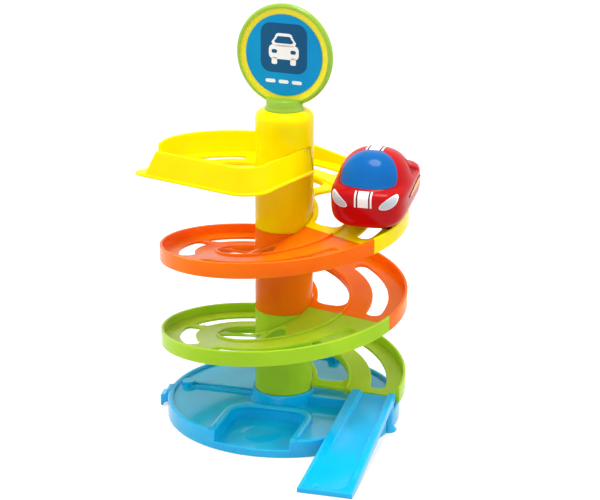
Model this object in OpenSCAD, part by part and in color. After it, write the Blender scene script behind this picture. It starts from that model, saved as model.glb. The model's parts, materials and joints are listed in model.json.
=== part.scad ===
// Toy spiral car ramp: a round base with a parking bay, three stacked column
// tubes that carry a descending spiral track, a start deck, a swivelling round
// sign, a straight exit ramp and one wheeled toy car.
// Origin: column axis at the ground. +Z up, the parking bay faces -Y.

/* [Whole toy] */
// Height of the whole toy, to the top of the sign
toy_h = 364.5; // [345:0.5:385]
// Share of that height from one column seam to the next
level_share = 0.203; // [0.195:0.001:0.21]

/* [Column] */
// Outside diameter of the column tubes
column_d = 50; // [46:0.5:54]
// Wall of the column tubes
column_wall = 2.4; // [1.8:0.2:3.2]
// Height of the lowest column seam above the ground
hub_top = 24; // [23:0.5:28]
// Length of the spigot that plugs into the tube above
spigot_l = 8; // [5:0.5:12]
// Radial clearance of plugged and sleeved pieces
fit_gap = 0.15; // [0.1:0.05:0.3]

/* [Track] */
// Outside radius of the spiral track
track_r = 107; // [104:0.5:110]
// Thickness of the track's outer wall and inner skirt
track_wall = 2.4; // [1.8:0.2:3.2]
// Height of the outer wall above the track floor
wall_above = 8; // [6:0.5:8.5]
// Depth of the outer wall and inner skirt below the track floor
wall_below = 5.5; // [4:0.5:7]
// Thickness of the track floor
floor_t = 2.4; // [1.8:0.2:3]
// Width of the outer wheel strip
outer_strip_w = 14.1; // [13:0.1:15]
// Width of the slot between the wheel strips
slot_w = 13.5; // [12:0.5:15]
// Width of the inner wheel strip with its skirt
inner_strip_w = 20; // [18:0.5:21]
// Height of the low kerb on the inner edge
kerb_h = 1.8; // [0.8:0.2:2.4]
// Width of the collar strip round the column
collar_w = 4.2; // [3:0.2:6]
// Angle that one level's track covers
level_sweep = 347.5; // [340:0.5:352]
// Direction of the track's lowest end
exit_angle = -5; // [-8:0.5:-2]
// Height of the track floor over the column seam at a level's low end
end_floor_h = 5; // [4:0.5:7]
// Clearance between one track and the next piece at its end
end_gap = 0.4; // [0.3:0.1:0.8]

/* [Start deck] */
// Angle that the top track covers before the flat deck
upper_sweep = 225; // [223:0.5:227]
// Height of the deck's wall over its floor
deck_wall_h = 21; // [16:0.5:24]
// Thickness of the deck's wall
deck_wall_t = 2.4; // [1.8:0.2:3.2]
// Inward lean of the deck's wall over its height
deck_lean = 3; // [0:0.5:5]
// Width of the flange outside the foot of the deck's wall
deck_flange = 1.6; // [1:0.2:3]
// Distance of the deck's straight front wall from the column axis
deck_front = 91; // [88:0.5:94]
// Extra height of the outer wall beside the deck
deck_side_wall = 11; // [6:0.5:13]

/* [Base] */
// Distance of the base's edge inside the track's outside radius
base_inset = 5; // [1:0.5:8]
// Height of the base's plate
plate_z = 13; // [12:0.5:15]
// Height of the rim over the plate
rim_h = 2.5; // [1.5:0.5:4]
// Width of the rim
rim_w = 5; // [4:0.5:7]
// Thickness of the base's walls
base_t = 2.4; // [1.8:0.2:3]
// Width of the parking bay
bay_w = 66; // [60:1:70]
// Distance of the bay's back wall from the column axis
bay_back = 34; // [33:0.5:38]
// Height of the bay's floor
bay_floor_z = 5.4; // [5:0.2:7]
// Width of the raised frame round the bay
bay_frame_w = 6; // [4:0.5:8]
// Radius of the round dish in the bay
dish_r = 19; // [15:0.5:21]
// Depth of the round dish in the bay
dish_depth = 2.2; // [1:0.1:2.2]

/* [Exit ramp] */
// Width of the exit ramp's lower end
ramp_w = 46; // [44:0.5:48]
// Distance that the ramp's left edge moves in towards its upper end
ramp_taper = 7.5; // [0:0.5:9]
// Length of the exit ramp on the ground
ramp_l = 148; // [140:1:156]
// Thickness of the ramp's lower end
ramp_tip = 3.4; // [3:0.1:5]
// Width of the ramp's left kerb
ramp_left_kerb = 9; // [6:0.5:11]
// Width of the ramp's right kerb
ramp_right_kerb = 6; // [4:0.5:8]
// Height of the ramp's kerbs over its floor
ramp_kerb_h = 3; // [2:0.2:4]

/* [Sign] */
// Radius of the round sign
sign_r = 43.5; // [40:0.5:46]
// Thickness of the sign's rim
sign_t = 6; // [5:0.2:8]
// Thickness of the sign's inner disc
sign_disc_t = 3; // [2:0.2:4]
// Radius of the printed label
label_r = 34.6; // [30:0.2:36]
// Thickness of the label
label_t = 0.4; // [0.3:0.05:0.6]
// Radius of the round plug under the sign
plug_r = 16; // [14:0.5:18]
// Depth of the plug in the column top
plug_l = 14; // [10:0.5:18]
// Running clearance of the plug in its socket
plug_gap = 0.1; // [0.05:0.01:0.1]
// Angle of the sign from facing the front
sign_turn = -7; // [-20:1:20]

/* [Car] */
// Width of the car
car_w = 66; // [62:1:68]
// Length of the car
car_l = 82; // [78:1:84]
// Height of the car's body
car_h = 53.5; // [51:0.5:55]
// Height of the body's underside over the track floor
car_clear = 10; // [9.5:0.5:12]
// Radius of the wheels
wheel_r = 8; // [7:0.25:8.5]
// Width of the wheels
wheel_w = 8; // [6:0.5:9]
// Distance between the front and rear axles
wheelbase = 30; // [28:1:34]
// Distance between the left and right wheels' middles
wheel_gauge = 27.5; // [26:0.25:28]
// Diameter of the axles
axle_d = 3; // [2.5:0.1:4]
// Radial running clearance of the axles in the chassis
axle_gap = 0.08; // [0.05:0.01:0.1]
// Height that the wheels clear the track, which twists under the car
ride_gap = 1.3; // [1.2:0.1:1.5]
// Thickness of the chassis plate
chassis_t = 3; // [2:0.5:4]
// Thickness of the car's stickers
sticker_t = 0.35; // [0.2:0.05:0.5]
// Clearance between the car's fixed pieces
car_fit = 0.1; // [0.05:0.05:0.2]

/* [Hidden] */
$fn = 96;

// Column heights
level_rise = toy_h*level_share;
sign_rise = 2.5;
upper_column_h = toy_h - hub_top - 2*level_rise - sign_rise - 2*sign_r;
column_r = column_d/2;
bore_r = column_r - column_wall;
seam_1 = hub_top;
seam_2 = seam_1 + level_rise;
seam_3 = seam_2 + level_rise;
column_top = seam_3 + upper_column_h;

// Track radii, from the outer wall inwards
r_wall = track_r - track_wall;
r_slot_out = r_wall - outer_strip_w;
r_slot_in = r_slot_out - slot_w;
r_skirt_in = r_slot_in - inner_strip_w;
r_skirt_out = r_skirt_in + track_wall;
r_collar_in = column_r + 2*fit_gap;
r_collar_out = r_collar_in + collar_w;

// Track directions: every level starts where the one below ends
lower_start = exit_angle;
middle_start = lower_start + level_sweep;
upper_start = middle_start + level_sweep;
deck_start = upper_start + upper_sweep;
function floor_z(a) = seam_1 + end_floor_h + level_rise*(a - exit_angle)/level_sweep;
deck_floor = floor_z(deck_start);

// Openings of a full level, as cells counted uphill along its track
level_cells = 58;
level_slots = [[1, 12], [19, 29], [30, 38], [41, 56]];
level_windows = [[2, 16], [18, 31], [33, 44], [45, 49]];
upper_cells = 38;
upper_slots = [[1, 14], [17, 25], [27, 33]];
upper_windows = [[2, 14], [16, 26], [28, 35]];
// Share of its width that an opening keeps at its rounded ends
end_pinch = 0.45;

yellow = "#ffdd00";
orange = "#f7851d";
lime = "#a9d12f";
blue = "#12a4ec";
red = "#d9141c";

// General shapes

// Faces of a block of warped cells, each as its outward step and its corners.
CELL_SIDES = [
    [[1, 0, 0], [[1, 0, 0], [1, 1, 0], [1, 1, 1], [1, 0, 1]]],
    [[-1, 0, 0], [[0, 0, 0], [0, 0, 1], [0, 1, 1], [0, 1, 0]]],
    [[0, 1, 0], [[0, 1, 0], [0, 1, 1], [1, 1, 1], [1, 1, 0]]],
    [[0, -1, 0], [[0, 0, 0], [1, 0, 0], [1, 0, 1], [0, 0, 1]]],
    [[0, 0, 1], [[0, 0, 1], [1, 0, 1], [1, 1, 1], [0, 1, 1]]],
    [[0, 0, -1], [[0, 0, 0], [0, 1, 0], [1, 1, 0], [1, 0, 0]]]];

// A solid of warped cells: counts = cells across, along and up, point(j, i, m)
// gives a corner and filled(j, i, m) says whether a cell is solid.
module warped_cells(counts, point, filled) {
    solid = function(c) min(c) >= 0 && c.x < counts.x && c.y < counts.y && c.z < counts.z
        && filled(c.x, c.y, c.z);
    corner = function(c) (c.y*(counts.x + 1) + c.x)*(counts.z + 1) + c.z;
    points = [for (i = [0:counts.y], j = [0:counts.x], m = [0:counts.z]) point(j, i, m)];
    faces = [for (i = [0:counts.y - 1], j = [0:counts.x - 1], m = [0:counts.z - 1])
        let (c = [j, i, m]) if (solid(c))
        for (side = CELL_SIDES) if (!solid(c + side[0]))
        let (q = [for (k = side[1]) corner(c + k)])
        each [[q[2], q[1], q[0]], [q[3], q[2], q[0]]]];
    polyhedron(points, faces, convexity = 10);
}

all_filled = function(j, i, m) true;

module ring(r_out, r_in, h, z = 0) {
    translate([0, 0, z]) difference() {
        cylinder(r = r_out, h = h);
        translate([0, 0, -1]) cylinder(r = r_in, h = h + 2);
    }
}

module rounded_rect(w, l, r) {
    square([w - 2*r, l], center = true);
    square([w, l - 2*r], center = true);
    for (x = [-1, 1], y = [-1, 1]) translate([x*(w/2 - r), y*(l/2 - r)]) circle(r = r);
}

function inside(ranges, i) = len([for (g = ranges) if (i >= g[0] && i < g[1]) 1]) > 0;
function at_end(ranges, i) = len([for (g = ranges) if (i == g[0] || i == g[1]) 1]) > 0;

// Base

base_r = track_r - base_inset;
rim_top = plate_z + rim_h;
rim_edge = 1.2;
module base_shell() {
    // Outer wall, plate and rim in one turned profile, open below.
    rotate_extrude() polygon([
        [0, plate_z - base_t], [base_r - base_t, plate_z - base_t], [base_r - base_t, 0], [base_r, 0],
        [base_r, rim_top - rim_edge], [base_r - rim_edge, rim_top],
        [base_r - rim_w + rim_edge, rim_top], [base_r - rim_w, rim_top - rim_edge],
        [base_r - rim_w, plate_z], [0, plate_z]]);
}

bay_l = base_r - bay_back;
bay_mid_y = -bay_back - bay_l/2;
bay_corner = 16;
// The bay's raised frame stands a little over the rim, and its front lip is low.
frame_top = rim_top + 0.6;
bay_front_z = bay_floor_z + 1.6;
dish_y = bay_mid_y + 2;
dish_sphere_r = (dish_r*dish_r + dish_depth*dish_depth)/(2*dish_depth);
// Hub, with the radii of its foot and top
hub_foot_r = column_r + 5;
hub_top_r = column_r + 2.5;
// Block under the low end of the track: width, and its distance in from the rim
block_w = 7;
block_y = -11;
block_in = 14;
// Knob at the left, tied to the hub by two ribs
knob_r = 6;
knob_at = [-(base_r - 13), 2];
rib_t = 2;
rib_gap = 5;
// Clip posts on the back of the rim and the arched tab at the left, by direction
post_dirs = [62, 78, 128];
post_w = 8;
post_h = rim_h + 3;
tab_dir = 187;
tab_w = 14;
tab_l = 9;
tab_notch_r = 3.4;
// Ribs under the plate end a little above the ground
under_rib_dirs = [20, 70, 110, 160];
foot_clear = 0.6;

// The bay's outline, run on past the front of the base.
module bay_outline(grow) {
    translate([0, bay_mid_y - bay_l/2])
        rounded_rect(bay_w + 2*grow, 2*bay_l + 2*grow, bay_corner + grow);
}

module base() color(blue) {
    difference() {
        union() {
            base_shell();
            // Raised frame round the bay, cut off by the base's own outline.
            intersection() {
                linear_extrude(frame_top) bay_outline(bay_frame_w);
                cylinder(r = base_r - 1, h = frame_top + 1);
            }
            // Hub that carries the lowest tube, with its spigot.
            cylinder(r1 = hub_foot_r, r2 = hub_top_r, h = hub_top);
            translate([0, 0, hub_top - 1]) cylinder(r = spigot_r, h = spigot_l + 1);
            // Block under the low end of the track.
            translate([column_r, block_y, plate_z - 1])
                cube([base_r - column_r - block_in, block_w, hub_top - plate_z - 2]);
            // Double rib from the hub to the knob on the left.
            translate([knob_at.x, knob_at.y, plate_z - 1]) {
                for (y = [-1, 1]) translate([0, y*(rib_gap + rib_t)/2 - rib_t/2, 0])
                    cube([-knob_at.x - column_r, rib_t, rib_t + 1]);
                cylinder(r = knob_r, h = rim_h + 3);
            }
            // Clip posts on the back of the rim.
            for (a = post_dirs) rotate(a) translate([base_r - rim_w - post_w/2, -post_w/2, plate_z - 1])
                cube([rim_w + post_w/2 - rim_edge, post_w, post_h + 1]);
            // Arched tab outside the rim on the left.
            rotate(tab_dir) translate([base_r - base_t/2, 0, 0]) side_tab();
        }
        // Bay hollow, open at the front over a low lip.
        translate([0, 0, bay_floor_z]) linear_extrude(2*plate_z) bay_outline(0);
        dish_hollow();
        // Hollow underside of the hub.
        translate([0, 0, base_t]) cylinder(r = spigot_bore_r, h = hub_top + spigot_l);
        // Channel that the ramp lies in, and the slots that take its two tongues.
        ramp_wedge(end_gap, hub_top);
        translate([ramp_foot.x, ramp_foot.y, -1]) cylinder(r = ramp_foot_r + end_gap, h = hub_top);
        translate([0, 0, plate_z - base_t - 1]) linear_extrude(base_t + 2) ramp_tongue_plan(fit_gap);
    }
    bay_floor();
    // Low lip along the front of the bay.
    intersection() {
        ring(base_r, base_r - base_t, bay_front_z);
        translate([-bay_w/2, -base_r - 1, 0]) cube([bay_w, base_r/2, bay_front_z]);
    }
    underside_ribs();
}

module dish_hollow() {
    intersection() {
        translate([0, dish_y, bay_floor_z + dish_sphere_r - dish_depth]) sphere(r = dish_sphere_r);
        translate([0, dish_y, 0]) cylinder(r = dish_r, h = bay_floor_z + base_t);
    }
}

// Bay floor with its dish, closed to the plate by the bay's side walls.
module bay_floor() {
    difference() {
        intersection() {
            linear_extrude(plate_z - 1) bay_outline(base_t);
            cylinder(r = base_r - base_t/2, h = plate_z);
        }
        translate([0, 0, bay_floor_z]) linear_extrude(plate_z) bay_outline(0);
        translate([0, 0, -1]) linear_extrude(1 + bay_floor_z - base_t) bay_outline(-1);
        dish_hollow();
    }
    // Thickened seat under the dish.
    difference() {
        translate([0, dish_y, foot_clear]) cylinder(r = dish_r + base_t, h = bay_floor_z - foot_clear);
        dish_hollow();
    }
}

// Ribs under the plate, from the hub to the outer wall.
module underside_ribs() {
    for (a = under_rib_dirs) rotate(a) translate([column_r + base_t, -rib_t/2, foot_clear])
        cube([base_r - column_r - 1.5*base_t, rib_t, plate_z - foot_clear - base_t/2]);
}

// Short arched bracket: a tongue with a round notch under it.
module side_tab() {
    difference() {
        translate([0, -tab_w/2, 0]) cube([tab_l, tab_w, rim_top]);
        translate([tab_notch_r, -tab_w, 0]) rotate([-90, 0, 0]) cylinder(r = tab_notch_r, h = 2*tab_w);
        translate([tab_l, -tab_w, rim_top]) rotate([-90, 0, 0]) cylinder(r = tab_l*0.6, h = 2*tab_w);
    }
}

// Exit ramp

ramp_inset = 2;
ramp_mid_x = (r_skirt_in + track_r)/2 - ramp_inset;
ramp_top_y = track_r*sin(exit_angle) - end_gap;
ramp_high_z = floor_z(exit_angle);
ramp_slope = atan((ramp_high_z - ramp_tip)/ramp_l);
ramp_t = 4;
ramp_foot_r = 8;
ramp_leg_r = 5;
ramp_foot_h = 10;
ramp_foot = [ramp_mid_x + ramp_w/2 - ramp_leg_r, ramp_top_y - ramp_leg_r - 1];
ramp_tip_y = ramp_top_y - ramp_l;
// Flat of the lower end that lies on the ground
ramp_flat_l = 12;
// Sunk floor: distance from the lower end and corner radius
pan_lip = 5;
pan_r = 9;
pan_steps = 6;
// The left kerb fades over this share of the ramp, by this angle
kerb_fade = 0.62;
kerb_fade_dir = 1.6;
// Tongues that drop into the base's plate
ramp_tongue = [5, 3];
ramp_tongue_in = 8;
module ramp_tongue_plan(grow) {
    for (x = [ramp_tongue_in - ramp_w/2 + ramp_taper, ramp_w/2 - ramp_tongue_in])
        translate([ramp_mid_x + x, ramp_top_y - ramp_tongue_in])
        square([ramp_tongue.x + 2*grow, ramp_tongue.y + 2*grow], center = true);
}

// Places children on the ramp's floor plane, +Y uphill from the lower end.
module on_ramp_floor() {
    translate([ramp_mid_x, ramp_tip_y, ramp_tip]) rotate([ramp_slope, 0, 0]) children();
}

// Side view of the ramp, swept across its width: a sloping plate that thins to the lower end.
// Its plan narrows uphill on the left.
module ramp_wedge(grow, top) {
    tip_top = ramp_tip + ramp_kerb_h*0.4;
    half = ramp_w/2 + grow;
    intersection() {
        translate([ramp_mid_x - half, 0, 0]) rotate([90, 0, 90]) linear_extrude(2*half)
            polygon([[ramp_tip_y, -grow], [ramp_tip_y, tip_top + top],
                     [ramp_top_y + grow, ramp_high_z + ramp_kerb_h + top],
                     [ramp_top_y + grow, ramp_high_z - ramp_t - grow], [ramp_tip_y + ramp_flat_l, -grow]]);
        translate([ramp_mid_x, 0, -1 - grow]) linear_extrude(2*ramp_high_z + top)
            polygon([[-half, ramp_tip_y], [half, ramp_tip_y], [half, ramp_top_y + grow],
                     [ramp_taper - half, ramp_top_y + grow]]);
    }
}

// Running floor on the ramp's plane: the left side follows the taper, the lower corners are round.
module ramp_pan() {
    floor_l = ramp_l/cos(ramp_slope);
    left = ramp_left_kerb - ramp_w/2;
    right = ramp_w/2 - ramp_right_kerb;
    corner = function(x, from) [for (k = [0:pan_steps]) let (a = from + 90*k/pan_steps)
        [x + pan_r*cos(a), pan_lip + pan_r + pan_r*sin(a)]];
    polygon(concat(corner(left + pan_r, 180), corner(right - pan_r, 270),
        [[right, 2*floor_l], [left + 2*ramp_taper, 2*floor_l]]));
}

module exit_ramp() color(blue) {
    floor_l = ramp_l/cos(ramp_slope);
    difference() {
        union() {
            ramp_wedge(0, 0);
            // Leg under the upper right corner, with a flared foot.
            translate([ramp_foot.x, ramp_foot.y, 0]) {
                cylinder(r1 = ramp_foot_r, r2 = ramp_leg_r, h = ramp_foot_h);
                cylinder(r = ramp_leg_r, h = ramp_high_z - ramp_t);
            }
            // Tongues that drop into the base's plate.
            translate([0, 0, plate_z - base_t]) linear_extrude(ramp_high_z - plate_z - 2)
                ramp_tongue_plan(0);
        }
        // Sunk running floor between the kerbs, with rounded lower corners.
        on_ramp_floor() linear_extrude(3*ramp_kerb_h) ramp_pan();
        // Left kerb slopes away over the lower part.
        on_ramp_floor() rotate([kerb_fade_dir, 0, 0]) translate([-ramp_w, -pan_lip, 0])
            cube([ramp_w/2 + ramp_left_kerb, floor_l*kerb_fade, ramp_w]);
    }
}

// Column tubes

spigot_r = bore_r - fit_gap;
spigot_bore_r = spigot_r - column_wall;
neck_in_l = 6;
// Tube from one seam to the next, drawn in at its top to the spigot that holds the tube above.
module column_tube(z, h) {
    translate([0, 0, z]) rotate_extrude() polygon([
        [bore_r, 0], [column_r, 0], [column_r, h], [spigot_r, h], [spigot_r, h + spigot_l],
        [spigot_bore_r, h + spigot_l], [spigot_bore_r, h - 2], [bore_r, h - neck_in_l]]);
}

module lower_column() color(lime) column_tube(seam_1, level_rise);
module middle_column() color(orange) column_tube(seam_2, level_rise);

socket_r = plug_r + plug_gap;
socket_floor = column_top - plug_l;
shoulder_r = column_r - socket_r - 1;
shoulder_z = column_top - shoulder_r;
module upper_column() color(yellow) {
    // One turned profile: tube, rounded shoulder and the round socket of the sign.
    rotate_extrude() difference() {
        union() {
            translate([bore_r, seam_3]) square([column_wall, shoulder_z - seam_3]);
            translate([socket_r, shoulder_z]) square([column_r - shoulder_r - socket_r, shoulder_r]);
            translate([socket_r, shoulder_z - column_wall]) square([column_r - socket_r, column_wall]);
            translate([column_r - shoulder_r, shoulder_z]) intersection() {
                circle(r = shoulder_r);
                square(shoulder_r);
            }
            translate([0, socket_floor - column_wall])
                square([socket_r + column_wall, shoulder_z - socket_floor + column_wall]);
        }
        translate([0, socket_floor]) square([socket_r, plug_l + 1]);
    }
}

// Spiral track

// Bands across the track: collar, window field, skirt, inner strip, slot, outer strip, wall.
// Layers up the track: skirts, floor, kerb, wall.
module spiral_track(start, sweep, cells, slots, windows, wall_extra) {
    step = (sweep - (end_gap/track_r)*180/PI)/cells;
    window_mid = (r_collar_out + r_skirt_in)/2;
    slot_mid = (r_slot_in + r_slot_out)/2;
    pinch = function(ranges, i, r, mid) at_end(ranges, i) ? mid + (r - mid)*end_pinch : r;
    radius = function(j, i)
        j == 0 ? r_collar_in :
        j == 1 ? pinch(windows, i, r_collar_out, window_mid) :
        j == 2 ? pinch(windows, i, r_skirt_in, window_mid) :
        j == 3 ? r_skirt_out :
        j == 4 ? pinch(slots, i, r_slot_in, slot_mid) :
        j == 5 ? pinch(slots, i, r_slot_out, slot_mid) :
        j == 6 ? r_wall : track_r;
    height = function(m, i) [-wall_below, -floor_t, 0, kerb_h, wall_above + wall_extra(i)][m];
    point = function(j, i, m)
        let (a = start + i*step, r = radius(j, i))
        [r*cos(a), r*sin(a), floor_z(a) + height(m, i)];
    filled = function(j, i, m)
        m == 0 ? j == 2 || j == 6 :
        m == 1 ? (j == 1 ? !inside(windows, i) : j == 4 ? !inside(slots, i) : true) :
        m == 2 ? j == 2 || j == 6 : j == 6;
    warped_cells([7, cells, 4], point, filled);
}

plain_wall = function(i) 0;
// Beside the deck the outer wall sweeps up to the height of a guard.
wall_rise_from = 17;
wall_rise_to = 25;
guard_wall = function(i)
    let (t = min(1, max(0, (i - wall_rise_from)/(wall_rise_to - wall_rise_from))))
    deck_side_wall*t*t*(3 - 2*t);

module lower_track() color(lime)
    spiral_track(lower_start, level_sweep, level_cells, level_slots, level_windows, plain_wall);
module middle_track() color(orange)
    spiral_track(middle_start, level_sweep, level_cells, level_slots, level_windows, plain_wall);
module upper_track() color(yellow)
    spiral_track(upper_start, upper_sweep, upper_cells, upper_slots, upper_windows, guard_wall);

// Start deck

// The deck's straight front wall stands deck_front from the column axis, square to this direction.
deck_front_dir = 251;
deck_corner_r = 24;
deck_lip_r = 8;
deck_tip_along = 93;
deck_end_along = 33;
function polar(a, r) = [r*cos(a), r*sin(a)];
// A point by its distance along the front wall (to the left) and out from the column axis.
function deck_point(along, out) = polar(deck_front_dir, out) + polar(deck_front_dir - 90, along);
deck_corner_mid = deck_point(deck_corner_r - deck_end_along, deck_front - deck_corner_r);
// Line of the wall's foot: along the front, round the corner and back to the column.
deck_corner_steps = 8;
deck_end_dir = deck_front_dir + 108;
deck_wall_end = polar(deck_end_dir - 13, column_r + 4.8);
deck_wall_line = concat(
    [deck_point(deck_tip_along - deck_lip_r - 4, deck_front), deck_point(deck_tip_along/2, deck_front)],
    [for (k = [0:deck_corner_steps])
        let (turn = (deck_end_dir - deck_front_dir)*k/deck_corner_steps)
        deck_corner_mid + polar(deck_front_dir + turn, deck_corner_r)],
    [deck_wall_end]);
// The deck's edge starts just past the end of the track.
deck_seam_dir = deck_start + 0.3;
// The wall's left end slants back over its height.
deck_wall_slant = 11;
// Arc of the lip's rounded corner
lip_turn = 82;
lip_steps = 6;

module deck_plan() {
    lip_mid = deck_point(deck_tip_along - deck_lip_r, deck_front - deck_lip_r);
    polygon(concat([[0, 0], polar(deck_seam_dir, track_r)],
        [for (k = [0:lip_steps])
            lip_mid + polar(deck_front_dir - lip_turn*(1 - k/lip_steps), deck_lip_r)],
        deck_wall_line));
}
function unit(v) = v/norm(v);

module start_deck() color(yellow) {
    n = len(deck_wall_line);
    // Outward direction at each point of the wall line.
    out_dir = function(i)
        let (d = unit(deck_wall_line[min(n - 1, i + 1)] - deck_wall_line[max(0, i - 1)])) [d.y, -d.x];
    // Wall that leans inwards, sunk into the floor plate.
    wall_point = function(j, i, m)
        let (inset = deck_flange + j*deck_wall_t + m*deck_lean,
             slant = i == 0 ? m*deck_wall_slant*unit(deck_wall_line[1] - deck_wall_line[0]) : [0, 0],
             p = deck_wall_line[i] + slant - out_dir(i)*inset)
        [p.x, p.y, deck_floor - floor_t/2 + m*(deck_wall_h + floor_t/2)];
    difference() {
        union() {
            translate([0, 0, deck_floor - floor_t]) linear_extrude(floor_t) deck_plan();
            warped_cells([1, n - 1, 1], function(j, i, m) wall_point(1 - j, i, m), all_filled);
        }
        translate([0, 0, deck_floor - 2*floor_t])
            cylinder(r = column_r + fit_gap, h = deck_wall_h + 4*floor_t);
    }
}

// Sign

seat_gap = 0.3;
// Neck that the disc stands on, with a flange that hides the socket
flange_r = plug_r + 1;
neck_r = plug_r - 0.4;
neck_h = 9;
neck_flare_h = 3;
sign_rim_w = 3.8;
sign_z = column_top + sign_rise + sign_r;

module on_sign() {
    translate([0, 0, sign_z]) rotate([0, 0, sign_turn]) rotate([90, 0, 0]) children();
}

module sign_panel() color("#bfe04a") {
    difference() {
        union() {
            on_sign() rotate_extrude() {
                translate([0, -sign_disc_t/2]) square([sign_r - sign_t/2, sign_disc_t]);
                translate([sign_r - sign_rim_w, -sign_t/2]) square([sign_rim_w - sign_t/2, sign_t]);
                translate([sign_r - sign_t/2, 0]) circle(r = sign_t/2);
            }
            // Plug, seat flange and the round neck that the disc stands on.
            translate([0, 0, socket_floor + seat_gap]) cylinder(r = plug_r, h = plug_l);
            translate([0, 0, column_top + seat_gap]) {
                cylinder(r1 = flange_r, r2 = neck_r, h = neck_flare_h);
                cylinder(r = neck_r, h = neck_h);
            }
        }
        // The disc stays clear of the printed labels.
        for (side = [0, 180]) on_sign() rotate([0, side, 0]) translate([0, 0, sign_disc_t/2])
            cylinder(r = label_r + fit_gap, h = 2*plug_r);
    }
}

module sign_label(side) {
    on_sign() rotate([0, side, 0]) translate([0, 0, sign_disc_t/2]) cylinder(r = label_r, h = label_t);
}
module sign_label_front() color("#0f86d6") sign_label(0);
module sign_label_back() color("#0f86d6") sign_label(180);

// Car

car_dir = 720;
// The car runs a little inside the middle of the slot, so that its outer wheels clear the wall.
run_inset = 3.5;
track_mid = (r_slot_in + r_slot_out)/2 - run_inset;
car_slope = atan(level_rise*180/(PI*level_sweep*track_mid));
axle_z = wheel_r;

// The car's own frame: origin on the track floor under its middle, nose to -Y.
module on_track() {
    translate([track_mid, 0, floor_z(car_dir)]) rotate([car_slope, 0, 0])
        translate([0, 0, ride_gap]) children();
}

// Body form. Every section is seen from a point at belt height: a boxy body with round corners
// and a cabin that swells out of it, joined softly.
front_power = 4;
tail_power = 8;
side_power = 6;
body_power = 4.5;
under_power = 3.5;
cabin_power = 2.5;
belt_h = 17;
shoulder_h = 16;
belt_z = car_clear + belt_h;
// Cabin: middle, reach to the front and back, half width and height over the belt
cabin_y = 1;
cabin_front = car_l*0.46;
cabin_tail = car_l*0.49;
cabin_w = car_w*0.475;
cabin_h = car_h - belt_h;
soft_join = 3;
// Width that the soft join adds on each side
join_swell = 0.42;
function bulge(share, p) = pow(max(0, 1 - pow(min(1, abs(share)), p)), 1/p);
function oval(t, w, h, p) = pow(pow(abs(cos(t))/w, p) + pow(abs(sin(t))/h, p), -1/p);
function half_w(y) = (car_w/2 - join_swell)*bulge(2*y/car_l, y < 0 ? front_power : tail_power);
// Distance from the belt point to the skin, at y and in direction t.
function skin_r(y, t) =
    let (ends = bulge(2*y/car_l, side_power),
         body = sin(t) <= 0 ? oval(t, max(1, half_w(y)), max(1, belt_h*ends), under_power)
                            : oval(t, max(1, half_w(y)), max(1, shoulder_h*ends), body_power),
         share = bulge((y - cabin_y)/(y < cabin_y ? cabin_front : cabin_tail), 2),
         cabin = share < 0.05 ? 0 : oval(t, cabin_w*share, cabin_h*share, cabin_power),
         soft = soft_join*min(1, 4*sin(t)))
    sin(t) <= 0 ? body : (body + cabin + sqrt((body - cabin)*(body - cabin) + soft*soft))/2;
function skin(y, t, over = 0) =
    let (r = skin_r(y, t) + over) [r*cos(t), y, belt_z + r*sin(t)];
// Direction of the skin over a point of the plan, and beside a point of the side view.
function top_dir(x, y, t = 90, n = 16) =
    n == 0 ? t : top_dir(x, y, acos(max(-1, min(1, x/skin_r(y, t)))), n - 1);
function side_dir(y, z, t = 0, n = 16) =
    n == 0 ? t : side_dir(y, z, asin(max(-1, min(1, (z - belt_z)/skin_r(y, t)))), n - 1);
// Front of the skin at x and z, found by halving between the nose and the middle.
function nose_y(x, z, lo = -car_l/2, hi = 0, n = 18) =
    let (mid = (lo + hi)/2, within = norm([x, z - belt_z]) < skin_r(mid, atan2(z - belt_z, x)))
    n == 0 ? mid : within ? nose_y(x, z, lo, mid, n - 1) : nose_y(x, z, mid, hi, n - 1);
function power(v, p) = sign(v)*pow(abs(v), p);

module car_body() {
    ns = 28;
    nt = 40;
    // Stations bunch towards the ends, where the plan rounds off.
    station = function(i) -car_l/2*0.998*power(cos(180*i/(ns - 1)), 0.8);
    rings = [for (i = [0:ns - 1], k = [0:nt - 1]) skin(station(i), -180 + 360*k/nt)];
    faces = concat(
        [for (i = [0:ns - 2], k = [0:nt - 1])
            let (a = i*nt + k, b = i*nt + (k + 1)%nt, c = a + nt, d = b + nt)
            each [[a, b, c], [b, d, c]]],
        [[for (k = [nt - 1:-1:0]) k]],
        [[for (k = [0:nt - 1]) (ns - 1)*nt + k]]);
    polyhedron(rings, faces, convexity = 4);
}

module wheel_places() {
    for (x = [-1, 1], y = [-1, 1])
        translate([x*wheel_gauge/2, y*wheelbase/2, axle_z]) rotate([0, 90, 0]) children();
}

// Wheel wells, and the chassis plate with its margin round them
well_r = wheel_r + 2;
well_side = 1.75;
well_w = wheel_w + 2*well_side;
chassis_margin = 2;
chassis_r = 4;
chassis_w = wheel_gauge + well_w + 2*chassis_margin;
chassis_l = wheelbase + 2*well_r + 2*chassis_margin;
// Corners of the rear side window, back from the car's middle and up from its belt
side_window = [[5, 13], [29, 9], [10, 28]];
// Share of the body that is left behind the sunk window
window_core = 0.94;

// Body with its rear side windows sunk into the cabin
module windowed_body() {
    resize([car_w, 0, 0]) difference() {
        car_body();
        translate([0, 0, belt_z]) difference() {
            rotate([90, 0, 90]) linear_extrude(2*car_w, center = true) polygon(side_window);
            scale(window_core) translate([0, 0, -belt_z]) car_body();
        }
    }
}

module car_shell() color(red) on_track() {
    difference() {
        windowed_body();
        // Recess of the chassis and the four wheel wells.
        translate([0, 0, car_clear - 1]) linear_extrude(chassis_t + 1 + car_fit)
            rounded_rect(chassis_w + 2*car_fit, chassis_l + 2*car_fit, chassis_r);
        wheel_places() cylinder(r = well_r, h = well_w, center = true, $fn = 64);
    }
}

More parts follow.
